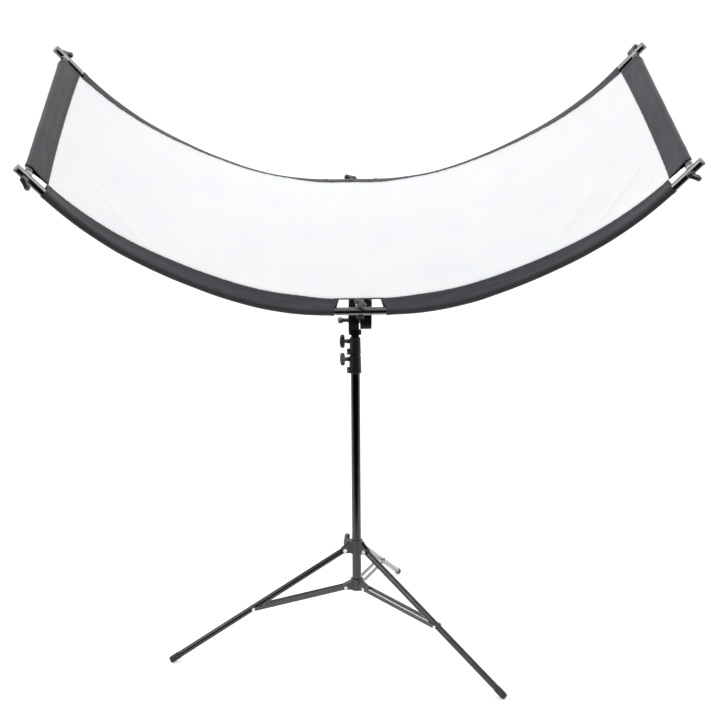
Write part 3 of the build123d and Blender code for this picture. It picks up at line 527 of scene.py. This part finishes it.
MATERIALS = {
    "black_tube": tube_finish("stand_tube", (0.034, 0.034, 0.036), (0.050, 0.050, 0.053), 0.17),
    "frame_tube": tube_finish("reflector_tube", (0.120, 0.122, 0.126), (0.155, 0.157, 0.162), 0.22),
    "black_nylon": moulded("cast_nylon", (0.006, 0.006, 0.0065), (0.011, 0.011, 0.012), 0.40, specular=0.35),
    "knob_plastic": moulded("knob_nylon", (0.030, 0.030, 0.032), (0.052, 0.052, 0.055), 0.24, specular=0.9),
    "strap_steel": moulded(
        "painted_strap",
        (0.020, 0.020, 0.022),
        (0.032, 0.032, 0.034),
        0.30,
        specular=0.8,
    ),
    "bright_rivet": bare_metal("bright_steel", (0.62, 0.62, 0.64), (0.78, 0.78, 0.80), 0.24),
    "zinc_screw": bare_metal("zinc_plate", (0.48, 0.49, 0.50), (0.64, 0.64, 0.65), 0.34),
    "foot_rubber": moulded("foot_rubber_grain", (0.010, 0.010, 0.010), (0.020, 0.020, 0.020), 0.62),
    "cap_plastic": moulded("light_cap", (0.24, 0.25, 0.26), (0.33, 0.34, 0.35), 0.42),
    "glide_plastic": moulded("natural_nylon", (0.62, 0.61, 0.58), (0.72, 0.71, 0.68), 0.38),
    "silver_fabric": cloth(
        "silver_satin",
        (0.84, 0.86, 0.885),
        (0.90, 0.91, 0.92),
        0.42,
        pitch=0.0009,
        sheen=0.25,
        depth=0.00006,
        tint=(0.95, 0.97, 1.0),
        specular=0.45,
        fleck=0.08,
    ),
    "sleeve_fabric": cloth(
        "charcoal_nylon",
        (0.036, 0.038, 0.043),
        (0.064, 0.067, 0.074),
        0.72,
        pitch=0.0012,
        sheen=0.20,
        depth=0.00014,
    ),
}
THREAD = moulded("seam_thread", (0.085, 0.087, 0.092), (0.130, 0.132, 0.140), 0.66)
PALE_THREAD = moulded("panel_thread", (0.60, 0.61, 0.63), (0.72, 0.73, 0.75), 0.60)


# Soft goods


def drape(point, normal, part, along, phase, loose):
    """How far the cloth stands off its tight outline: folds on the free spans, puckers beside the seam."""
    free = 4 * part * (1 - part) if part < 1 else 0.15
    fold = ripple(along * 16, part * 3, phase) * 0.0006 * loose * (0.3 + free)
    seam = (1 - smooth_step(part / 0.45)) if part < 1 else 0
    pucker = ripple(along * 95, part * 2, phase + 9) * 0.00038 * seam
    sag = -0.0006 * loose * free
    return point + normal * (fold + pucker + sag)


def hem_swell(from_end, width=0.010):
    """Extra thickness where the end of a pocket is folded back and sewn."""
    return 0.00045 * (1 - smooth_step((from_end - width) / 0.0012))


def sleeve(side_name, end_name):
    """One long sleeve: a pocket round the rail, sewn to the panel's hem, its inner end cut at a slant."""
    side, end = SIDES[side_name], ENDS[end_name]
    slant, joiner_gap, end_gap, steps = 0.012, 0.002, 0.0005, 300
    start = JOINER_HALF_LENGTH + joiner_gap
    finish = ARCS_END - end_gap + SLEEVE_SHIFT.get((side_name, end_name), 0)
    phase = 3.0 * side + 7.0 * end
    rows, weave = [], []
    for i in range(steps + 1):
        share = i / steps
        tip = (-end * HEM_INSET, hem_raise(start + (finish - start) * share))
        outline = pocket_outline(SLEEVE_RADIUS, tip, HEM_RADIUS, (3, 12, 30))
        around = lengths_round(outline)
        row, marks = [], []
        for k, (place, normal, part) in enumerate(outline):
            towards_hem = min(max(place.x / tip[0], 0), 1)
            begin = start - slant * towards_hem
            distance = begin + (finish - begin) * share
            _, lift, centre = station(side, distance)
            cloth_place = drape(place, normal, part, distance, phase, 1.0)
            from_end = min(distance - begin, finish - distance)
            cloth_place = cloth_place + normal * hem_swell(from_end)
            row.append(centre + UP_BAR * (end * HALF_SPACING + cloth_place.x) + lift * cloth_place.y)
            marks.append((distance, around[k]))
        marks.append((marks[0][0], around[-1]))
        rows.append(row)
        weave.append(marks)
    mesh = grid_mesh(f"{side_name}_{end_name}_sleeve", rows, weave, around=True)
    piece = new_piece(mesh.name, mesh, "reflector", "sleeve_fabric", [MATERIALS["sleeve_fabric"]])
    face_outward(piece)
    thicken(piece, CLOTH)
    runs = seam_runs(rows, outline, (0.10, 0.24)) + end_runs(rows, (0.0035, 0.0085))
    thread = stitches(f"{mesh.name}_stitching", "reflector", piece, runs, THREAD)
    return piece


def face_outward(piece):
    """Turns the faces of a mesh outwards, which decides the side that Solidify grows to."""
    bm = bmesh.new()
    bm.from_mesh(piece.data)
    bmesh.ops.recalc_face_normals(bm, faces=bm.faces)
    bm.to_mesh(piece.data)
    bm.free()


def seam_runs(rows, outline, shares):
    """Rows of stitches along the seam, each on the hollow side and again on the back."""
    runs = []
    columns = len(outline)
    for wanted in shares:
        for half in (range(columns // 2), range(columns - 1, columns // 2, -1)):
            column = next(k for k in half if 0 < outline[k][2] < 1 and outline[k][2] >= wanted)
            run = []
            for i, row in enumerate(rows):
                near, far = row[(column - 1) % columns], row[(column + 1) % columns]
                ahead = rows[min(i + 1, len(rows) - 1)][column] - rows[max(i - 1, 0)][column]
                normal = (far - near).cross(ahead).normalized()
                middle = sum(row, Vector()) / columns
                if normal.dot(row[column] - middle) < 0:
                    normal = -normal
                run.append((row[column] + normal * 0.0001, normal))
            runs.append(run)
    return runs


def end_runs(rows, insets):
    """Rows of stitches round each end of a pocket, through its folded hem."""
    runs = []
    for inset in insets:
        for ordered in (rows, rows[::-1]):
            columns = len(ordered[0])
            run = []
            for j in range(columns + 1):
                column = j % columns
                walked, i = 0.0, 0
                while walked < inset:
                    walked += (ordered[i + 1][column] - ordered[i][column]).length
                    i += 1
                before = ordered[i][(column - 1) % columns]
                after = ordered[i][(column + 1) % columns]
                ahead = ordered[i + 1][column] - ordered[i][column]
                back = (walked - inset) / max(ahead.length, 1e-9)
                place = ordered[i][column] - ahead * back
                normal = (after - before).cross(ahead).normalized()
                middle = sum(ordered[i], Vector()) / columns
                if normal.dot(place - middle) < 0:
                    normal = -normal
                run.append((place + normal * 0.00012, normal))
            runs.append(run)
    return runs


def band_bow(y):
    """How far the seam between the panel and an end band bows towards the crossbar."""
    return BAND_BOW * (1 - (y / BAND_HALF_LENGTH) ** 2)


def end_band(side_name):
    """Wide pocket round an end crossbar, sewn to the panel's end, open at its front and rear."""
    side = SIDES[side_name]
    along, lift, centre = station(side, END_BAR_PLACE)
    counts, steps, phase = (3, 22, 30), 130, 40 + side
    rows, weave = [], []
    for i in range(steps + 1):
        y = BAND_HALF_LENGTH * (2 * i / steps - 1)
        tip = (-BAND_REACH + band_bow(y), BAND_TIP_LIFT)
        outline = pocket_outline(BAND_RADIUS, tip, HEM_RADIUS, counts)
        around = lengths_round(outline)
        row, marks = [], []
        for k, (place, normal, part) in enumerate(outline):
            cloth_place = drape(place, normal, part, y, phase, 1.6)
            cloth_place = cloth_place + normal * hem_swell(BAND_HALF_LENGTH - abs(y), 0.012)
            # The mouth is cut at a slant, so the lower layer is shorter than the one on the hollow side
            towards_tip = min(max(place.x / tip[0], 0), 1)
            top = BAND_RADIUS + (tip[1] + HEM_RADIUS - BAND_RADIUS) * towards_tip
            shorter = 1 - MOUTH_SLANT * max(top - place.y, 0) / BAND_HALF_LENGTH
            row.append(centre + UP_BAR * (y * shorter) + along * cloth_place.x + lift * cloth_place.y)
            marks.append((y * shorter, around[k]))
        marks.append((marks[0][0], around[-1]))
        rows.append(row)
        weave.append(marks)
    mesh = grid_mesh(f"{side_name}_band", rows, weave, around=True)
    piece = new_piece(mesh.name, mesh, "reflector", "sleeve_fabric", [MATERIALS["sleeve_fabric"]])
    face_outward(piece)
    thicken(piece, CLOTH)
    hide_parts(f"{side_name}_end_band")
    runs = seam_runs(rows, outline, (0.05, 0.14)) + end_runs(rows, (0.004, 0.010))
    thread = stitches(f"{side_name}_band_stitching", "reflector", piece, runs, THREAD)


def corner_folds(side, distance, y):
    """Long soft folds that slant across a corner of the panel, and die out at the front hem."""
    total = 0.0
    for height, width, begins, start, meets in CORNER_FOLDS[side]:
        share = (distance - meets) / (begins - meets)
        slope = (start + PANEL_HALF_WIDTH) / (begins - meets)
        ridge = -PANEL_HALF_WIDTH + slope * (distance - meets)
        fade = smooth_step(share / 0.25) * (1 - smooth_step((share - 0.75) / 0.25))
        hem = smooth_step((y + PANEL_HALF_WIDTH - 0.008) / 0.012)
        total += height * fade * hem * exp(-(((y - ridge) / hypot(1, slope) / width) ** 2))
    return total


def panel_lift(side, distance, y, edge):
    """Height of the panel over the rail line: a light crown between the hems, and folds towards the ends."""
    across = y / PANEL_HALF_WIDTH
    middle = (1 - across * across) * (1 - smooth_step((distance - edge + 0.25) / 0.25))
    crown = PANEL_CROWN * middle
    towards_end = smooth_step((distance - 0.35) / 0.4)
    inside = 1 - smooth_step((abs(across) - 0.86) / 0.14)
    held = inside * (1 - smooth_step((distance - edge + 0.03) / 0.03))
    skew = y * 9 + distance * 2.2 * side
    folds = 0.0017 * towards_end * held * ripple(skew, distance * 1.3, 3.0 * side)
    broad = 0.0010 * held * ripple(distance * 5 + side, y * 6, 20)
    hem = smooth_step((abs(across) - 0.90) / 0.08)
    pucker = 0.00045 * hem * ripple(distance * 70, y * 20, 31 * side)
    near_end = smooth_step((distance - edge + 0.05) / 0.05)
    end_pucker = 0.0006 * near_end * ripple(y * 60, distance * 12, 57)
    small = folds + broad + pucker + end_pucker + corner_folds(side, distance, y)
    return hem_raise(distance) + crown + small


def hem_runs(rows, cross_steps):
    """Two rows of stitches along each long edge of the panel."""
    runs = []
    for inset in (0.0035, 0.0075):
        inner = PANEL_HALF_WIDTH - inset
        for y in (-inner, inner):
            wanted = (y / PANEL_HALF_WIDTH + 1) / 2 * cross_steps
            column = round(wanted)
            share = wanted - column
            run = []
            for row in rows:
                other = row[min(max(column + (1 if share > 0 else -1), 0), cross_steps)]
                place = row[column].lerp(other, abs(share))
                run.append((place + HOLLOW * 0.0003, HOLLOW))
            runs.append(run)
    return runs


def panel():
    """The reflecting panel: one sheet of satin between the sleeves and the end bands."""
    half_steps, cross_steps = 170, 120
    rows, weave = [], []
    for i in range(-half_steps, half_steps + 1):
        side = -1 if i < 0 else 1
        row, marks = [], []
        for j in range(cross_steps + 1):
            y = PANEL_HALF_WIDTH * (2 * j / cross_steps - 1)
            edge = END_BAR_PLACE - BAND_REACH + band_bow(y)
            distance = edge * abs(i) / half_steps
            _, lift, centre = station(side, distance)
            height = panel_lift(side, distance, y, edge)
            tip = smooth_step((distance - edge + 0.04) / 0.04)
            height += (BAND_TIP_LIFT - hem_raise(edge)) * tip
            row.append(centre + UP_BAR * y + lift * height)
            marks.append((side * distance, y))
        rows.append(row)
        weave.append(marks)
    mesh = grid_mesh("satin_panel", rows, weave)
    piece = new_piece("satin_panel", mesh, "reflector", "silver_fabric", [MATERIALS["silver_fabric"]])
    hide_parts("reflector_panel")
    thicken(piece, SATIN, offset=0)
    thread = stitches("panel_stitching", "reflector", piece, hem_runs(rows, cross_steps), PALE_THREAD)


def hem_binding(end_name):
    """Folded binding on the panel's edge, where it crosses the gap between two sleeves."""
    end = ENDS[end_name]
    half, width, thickness = 0.056, 0.0052, 0.0011
    steps, corners, mark_step = 60, 20, 0.0006
    outer = PANEL_HALF_WIDTH + 0.0032
    profile = []
    for k in range(corners):
        turn = 2 * pi * k / corners
        above = 1 if sin(turn) > 0 else -1
        profile.append((width / 2 * cos(turn), thickness * above * abs(sin(turn)) ** 0.6))
    rows, weave = [], []
    for i in range(steps + 1):
        x = half * (2 * i / steps - 1)
        row, marks = [], []
        for k, (across, height) in enumerate(profile):
            wave = 0.0002 * ripple(x * 90, end * 5, 2)
            y = end * (outer - width / 2) + across
            row.append(CENTRE + ACROSS * x + UP_BAR * y + HOLLOW * (WINDOW_RAISE + height + wave))
            marks.append((x, k * mark_step))
        marks.append((x, corners * mark_step))
        rows.append(row)
        weave.append(marks)
    mesh = grid_mesh(f"{end_name}_hem_binding", rows, weave, around=True)
    piece = new_piece(mesh.name, mesh, "reflector", "sleeve_fabric", [MATERIALS["sleeve_fabric"]])
    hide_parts("hem_tapes")
    close_ends(piece)
    run = []
    for i in range(steps + 1):
        x = half * (2 * i / steps - 1)
        place = CENTRE + ACROSS * x + UP_BAR * end * (outer - width * 0.62)
        run.append((place + HOLLOW * (WINDOW_RAISE + thickness), HOLLOW))
    stitches(f"{end_name}_hem_stitching", "reflector", piece, [run], THREAD)


def close_ends(piece):
    """Fills the open ends of a tube-shaped mesh."""
    bm = bmesh.new()
    bm.from_mesh(piece.data)
    bmesh.ops.holes_fill(bm, edges=[edge for edge in bm.edges if edge.is_boundary])
    bmesh.ops.recalc_face_normals(bm, faces=bm.faces)
    bm.to_mesh(piece.data)
    bm.free()


# Knobs and feet


def ring_solid(bm, rings):
    """A closed solid from rings of points with the same count."""
    levels = [[bm.verts.new(point) for point in ring] for ring in rings]
    count = len(levels[0])
    for low, high in zip(levels, levels[1:]):
        for k in range(count):
            bm.faces.new((low[k], low[(k + 1) % count], high[(k + 1) % count], high[k]))
    bm.faces.new(levels[0][::-1])
    bm.faces.new(levels[-1])


def round_ring(radius, height, count=32):
    """Points of a circle about the axis, at a height."""
    turns = [2 * pi * k / count for k in range(count)]
    return [(radius * cos(turn), radius * sin(turn), height) for turn in turns]


def squircle(half_y, low, high, x):
    """Ring across the bar of a knob: a rounded rectangle in the plane x."""
    count, squareness = 40, 0.42
    ring, middle, half_z = [], (low + high) / 2, (high - low) / 2
    for k in range(count):
        level, rise = cos(2 * pi * k / count), sin(2 * pi * k / count)
        y = half_y * abs(level) ** squareness * (1 if level >= 0 else -1)
        z = middle + half_z * abs(rise) ** squareness * (1 if rise >= 0 else -1)
        ring.append((x, y, z))
    return ring


def knob_body(stem):
    """Moulded T: a flared stem and a bar that is waisted, crowned and rounded at its ends."""
    half_bar, half_width, depth, voxel = 0.0180, 0.0064, 0.0142, 0.00055
    bm = bmesh.new()
    profile = (
        (0.0003, 0.0062),
        (0.0020, 0.0062),
        (0.0030, 0.0054),
        (stem * 0.8, 0.0052),
        (stem + 0.002, 0.0064),
    )
    ring_solid(bm, [round_ring(radius, height) for height, radius in profile])
    rings = []
    for k in range(25):
        x = half_bar * sin(pi / 2 * (k / 12 - 1)) * 0.999
        share = abs(x) / half_bar
        end = max(0.0, abs(x) - (half_bar - half_width)) / half_width
        round_off = max(1 - end * end, 0.02) ** 0.5
        waist = half_width * (0.80 + 0.20 * smooth_step(share / 0.7)) * round_off
        low = stem + 0.0012 * share * share + (1 - round_off) * 0.0018
        high = stem + depth - 0.0030 * share * share - (1 - round_off) * 0.0018
        rings.append(squircle(waist, low, high, x))
    ring_solid(bm, rings)
    mesh = bpy.data.meshes.new(f"knob_body_{round(stem * 1000)}")
    bm.to_mesh(mesh)
    bm.free()
    shape = bpy.data.objects.new(mesh.name, mesh)
    bpy.context.scene.collection.objects.link(shape)
    fuse = shape.modifiers.new("fuse", "REMESH")
    fuse.mode = "VOXEL"
    fuse.voxel_size = voxel
    ease = shape.modifiers.new("ease", "SMOOTH")
    ease.iterations = 5
    settled = shape.evaluated_get(bpy.context.evaluated_depsgraph_get())
    made = bpy.data.meshes.new_from_object(settled)
    bpy.data.objects.remove(shape)
    made.name = f"knob_{round(stem * 1000)}"
    return made


def with_stud(mesh, radius, length):
    """Adds the stud to a knob's mesh, in the second material: rings of thread and a narrower tip."""
    bm = bmesh.new()
    bm.from_mesh(mesh)
    for face in bm.faces:
        face.material_index = 0
        face.smooth = True
    before = len(bm.faces)
    pitch, depth, crest, corners, into_stem = 0.00125, 0.00045, 0.00005, 20, 0.0010
    rings = [round_ring(radius - depth * 2.2, -length, corners)]
    height = -length + pitch / 2
    while height < into_stem:
        rings.append(round_ring(radius - depth, height, corners))
        rings.append(round_ring(radius - crest, height + pitch / 2, corners))
        height += pitch
    ring_solid(bm, rings)
    bm.faces.ensure_lookup_table()
    for face in bm.faces[before:]:
        face.material_index = 1
        face.smooth = True
    bmesh.ops.recalc_face_normals(bm, faces=bm.faces)
    bm.to_mesh(mesh)
    bm.free()
    return mesh


def bar_direction(node, seat, axis):
    """The direction of a CAD knob's bar: the widest direction of its points, across its axis."""
    points = np.array([vertex.co for vertex in NODES[node].data.vertices]) - np.array(seat)
    normal = np.array(axis)
    flat = points - np.outer(points @ normal, normal)
    _, _, directions = np.linalg.svd(flat - flat.mean(0), full_matrices=False)
    return Vector(directions[0]).normalized()


def knobs():
    """Every T-knob, seated on its own joint and turned as its CAD solid is."""
    made = {}
    for node in sorted(name for name in NODES if name.endswith("_knob")):
        joint = JOINTS[f"{node}_turn"]
        seat, out = Vector(joint["pos_m"]), Vector(joint["axis"]).normalized()
        stem, stud = STEMS.get(node, USUAL_STEM), STUDS.get(node, USUAL_STUD)
        stud_radius = TILT_STUD_RADIUS if node == "tilt_knob" else STUD_RADIUS
        if (stem, stud) not in made:
            made[stem, stud] = with_stud(knob_body(stem), stud_radius, stud)
            for material in ("knob_plastic", "zinc_screw"):
                made[stem, stud].materials.append(MATERIALS[material])
        bar = bar_direction(node, seat, out)
        piece = bpy.data.objects.new(f"{node}_moulding", made[stem, stud])
        bpy.context.scene.collection.objects.link(piece)
        turn = Matrix((bar, out.cross(bar), out)).transposed().to_4x4()
        piece.matrix_world = Matrix.Translation(seat) @ turn
        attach(piece, node)
        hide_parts(node)
        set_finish(piece, "knob_plastic")


def leg_axis(index):
    """Middle of the leg tube's lower end, and its direction down the leg."""
    points = np.array([vertex.co for vertex in NODES[f"leg_tube_{index}"].data.vertices])
    middle = points.mean(0)
    _, _, directions = np.linalg.svd(points - middle, full_matrices=False)
    down = Vector(directions[0])
    if down.z > 0:
        down = -down
    reach = (points - middle) @ np.array(down)
    low = points[reach > reach.max() - 0.002].mean(0)
    return Vector(low), down.normalized()


def foot_cap(index):
    """Ribbed rubber cap, little wider than its tube: a bead, five ribs, a rounded nose, a flat underside."""
    low, down = leg_axis(index)
    past, length, mouth, body, bead, nose = 0.005, 0.030, 0.0087, 0.0091, 0.0093, 0.005
    first_rib, rib_pitch, corners, nose_steps, floor_gap = 0.0050, 0.0034, 48, 6, 0.00005
    profile = [(0.0, mouth), (0.0, body), (0.0006, bead), (0.0026, bead), (0.0032, body)]
    for rib in range(5):
        start = first_rib + rib * rib_pitch
        profile += [(start, body), (start + 0.0005, bead), (start + 0.0015, bead), (start + 0.0020, body)]
    for k in range(nose_steps + 1):
        turn = pi / 2 * k / nose_steps
        profile.append((length - nose + nose * sin(turn), body - nose + nose * cos(turn)))
    bm = bmesh.new()
    ring_solid(bm, [round_ring(size, height, corners) for height, size in profile])
    turn = down.to_track_quat("Z", "Y").to_matrix().to_4x4()
    place = Matrix.Translation(low + down * (past - length)) @ turn
    bmesh.ops.transform(bm, matrix=place, verts=bm.verts)
    cut = bmesh.ops.bisect_plane(
        bm,
        geom=bm.verts[:] + bm.edges[:] + bm.faces[:],
        plane_co=(0, 0, floor_gap),
        plane_no=(0, 0, -1),
        clear_outer=True,
    )
    rim = [edge for edge in cut["geom_cut"] if isinstance(edge, bmesh.types.BMEdge)]
    bmesh.ops.holes_fill(bm, edges=rim)
    bmesh.ops.recalc_face_normals(bm, faces=bm.faces)
    for face in bm.faces:
        face.smooth = True
    mesh = bpy.data.meshes.new(f"ribbed_foot_{index}")
    bm.to_mesh(mesh)
    bm.free()
    mesh.set_sharp_from_angle(angle=radians(50))
    piece = new_piece(mesh.name, mesh, f"leg_{index}", "foot_rubber", [MATERIALS["foot_rubber"]])
    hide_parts(f"foot_cap_{index}")


def dress_cad_parts():
    """Gives each CAD part the material of its record slot, and the saddles and castings their own; the parts under
    the panel get a darker, duller nylon as painted shade.
    """
    for entry in frame["record"]["subparts"]:
        node = NODES[entry["node"]]
        for material_slot in node.material_slots:
            material_slot.material = MATERIALS[entry["material_slot"]]
    for material_slot in NODES["crossbar_saddles"].material_slots:
        material_slot.material = saddle_finish("saddle_alloy")
    hub_nylon = moulded("hub_nylon", (0.018, 0.018, 0.019), (0.030, 0.030, 0.032), 0.34, specular=0.7)
    # Painted shade: the tilt head, tilt arm and clamp cap sit under the panel, so their nylon is made darker and
    # duller
    head_nylon_painted_shade = moulded("head_nylon_painted_shade", (0.002, 0.002, 0.0025), (0.004, 0.004, 0.0045), 0.45, specular=0.1)
    special = {"hub_casting": hub_nylon, "spider_casting": hub_nylon}
    special.update(dict.fromkeys(("tilt_head", "tilt_arm", "crossbar_clamp_cap"), head_nylon_painted_shade))
    for node, material in special.items():
        for material_slot in NODES[node].material_slots:
            material_slot.material = material


# Floor, light and camera


def floor():
    """A plain pale floor, which begins a little way in front of the object."""
    bm = bmesh.new()
    bmesh.ops.create_circle(bm, cap_ends=True, radius=FLOOR_RADIUS, segments=128)
    mesh = bpy.data.meshes.new("floor")
    bm.to_mesh(mesh)
    bm.free()
    ground = bpy.data.objects.new("floor", mesh)
    bpy.context.scene.collection.objects.link(ground)
    ground.location = (0, FLOOR_RADIUS - FLOOR_FRONT, -FLOOR_DROP)
    material, _, shader = started("pale_floor", specular=0.1)
    shader.inputs["Base Color"].default_value = (0.9, 0.9, 0.9, 1)
    shader.inputs["Roughness"].default_value = 0.9
    shader.inputs["Emission Color"].default_value = (1, 1, 1, 1)
    shader.inputs["Emission Strength"].default_value = FLOOR_GLOW
    mesh.materials.append(material)


def soft_box(name, place, target, power):
    """A soft box at a place, turned to a target."""
    lamp = bpy.data.lights.new(name, "AREA")
    lamp.shape = "RECTANGLE"
    lamp.size, lamp.size_y = BOX_SIZE
    lamp.energy = power
    box = bpy.data.objects.new(name, lamp)
    bpy.context.scene.collection.objects.link(box)
    box.location = place
    box.rotation_euler = (Vector(target) - Vector(place)).to_track_quat("-Z", "Y").to_euler()


def white_studio():
    """White surroundings: bright above, behind and beside the object, dim in front. Two soft boxes help."""
    world = bpy.data.worlds.new("white_studio")
    bpy.context.scene.world = world
    world.use_nodes = True
    tree = world.node_tree
    light = tree.nodes["Background"]
    direction = add(tree, "ShaderNodeSeparateXYZ")
    link(tree, add(tree, "ShaderNodeTexCoord").outputs["Generated"], direction.inputs["Vector"])
    overhead = ranged(tree, direction.outputs["Z"], 0.0, OVERHEAD, start=0.25, end=0.80)
    behind = ranged(tree, direction.outputs["Y"], 0.0, BEHIND, start=-0.35, end=0.45)
    raised = ranged(tree, direction.outputs["Z"], 0.0, 1.0, start=0.0, end=0.35)
    left = ranged(tree, direction.outputs["X"], LEFT_SIDE, 0.0, start=-0.85, end=-0.35)
    right = ranged(tree, direction.outputs["X"], 0.0, RIGHT_SIDE, start=0.35, end=0.85)
    beside = maths(tree, "MULTIPLY", maths(tree, "ADD", left, right), raised)
    above = maths(tree, "MAXIMUM", overhead, behind)
    level = maths(tree, "MAXIMUM", above, maths(tree, "MAXIMUM", beside, DIM))
    link(tree, level, light.inputs["Strength"])
    backdrop = add(tree, "ShaderNodeBackground")
    backdrop.inputs["Strength"].default_value = BACKDROP
    for background in (light, backdrop):
        background.inputs["Color"].default_value = (1, 1, 1, 1)
    mix = add(tree, "ShaderNodeMixShader")
    link(tree, add(tree, "ShaderNodeLightPath").outputs["Is Camera Ray"], mix.inputs["Fac"])
    link(tree, light.outputs["Background"], mix.inputs[1])
    link(tree, backdrop.outputs["Background"], mix.inputs[2])
    link(tree, mix.outputs["Shader"], tree.nodes["World Output"].inputs["Surface"])
    soft_box("key_softbox", (-2.2, -1.4, 2.9), (0, 0, 1.0), KEY)
    soft_box("fill_softbox", (2.6, -0.6, 2.6), (-0.3, 0, 1.1), FILL)
    bpy.context.scene.view_settings.view_transform = "Standard"


def camera():
    """The photograph's viewpoint: in front, a little left of the column and looking slightly down."""
    yaw, pitch, roll = radians(CAMERA_YAW), radians(CAMERA_PITCH), radians(CAMERA_ROLL)
    forward = Vector((sin(yaw) * cos(pitch), cos(yaw) * cos(pitch), -sin(pitch)))
    level = Vector((cos(yaw), -sin(yaw), 0))
    up = level.cross(forward)
    right = level * cos(roll) + up * sin(roll)
    data = bpy.data.cameras.new("photo_camera")
    data.sensor_width = CAMERA_SENSOR
    data.lens = CAMERA_LENS
    view = bpy.data.objects.new("photo_camera", data)
    bpy.context.scene.collection.objects.link(view)
    turn = Matrix((right, right.cross(forward), -forward)).transposed()
    view.matrix_world = Matrix.Translation(CAMERA_PLACE) @ turn.to_4x4()
    bpy.context.scene.camera = view


camera()
dress_cad_parts()
for end_name in ENDS:
    made = [sleeve(side_name, end_name) for side_name in SIDES]
    for piece in made:
        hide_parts(f"{end_name}_sleeves")
    hem_binding(end_name)
for side_name in SIDES:
    end_band(side_name)
panel()
knobs()
for index in (1, 2, 3):
    foot_cap(index)
floor()
white_studio()
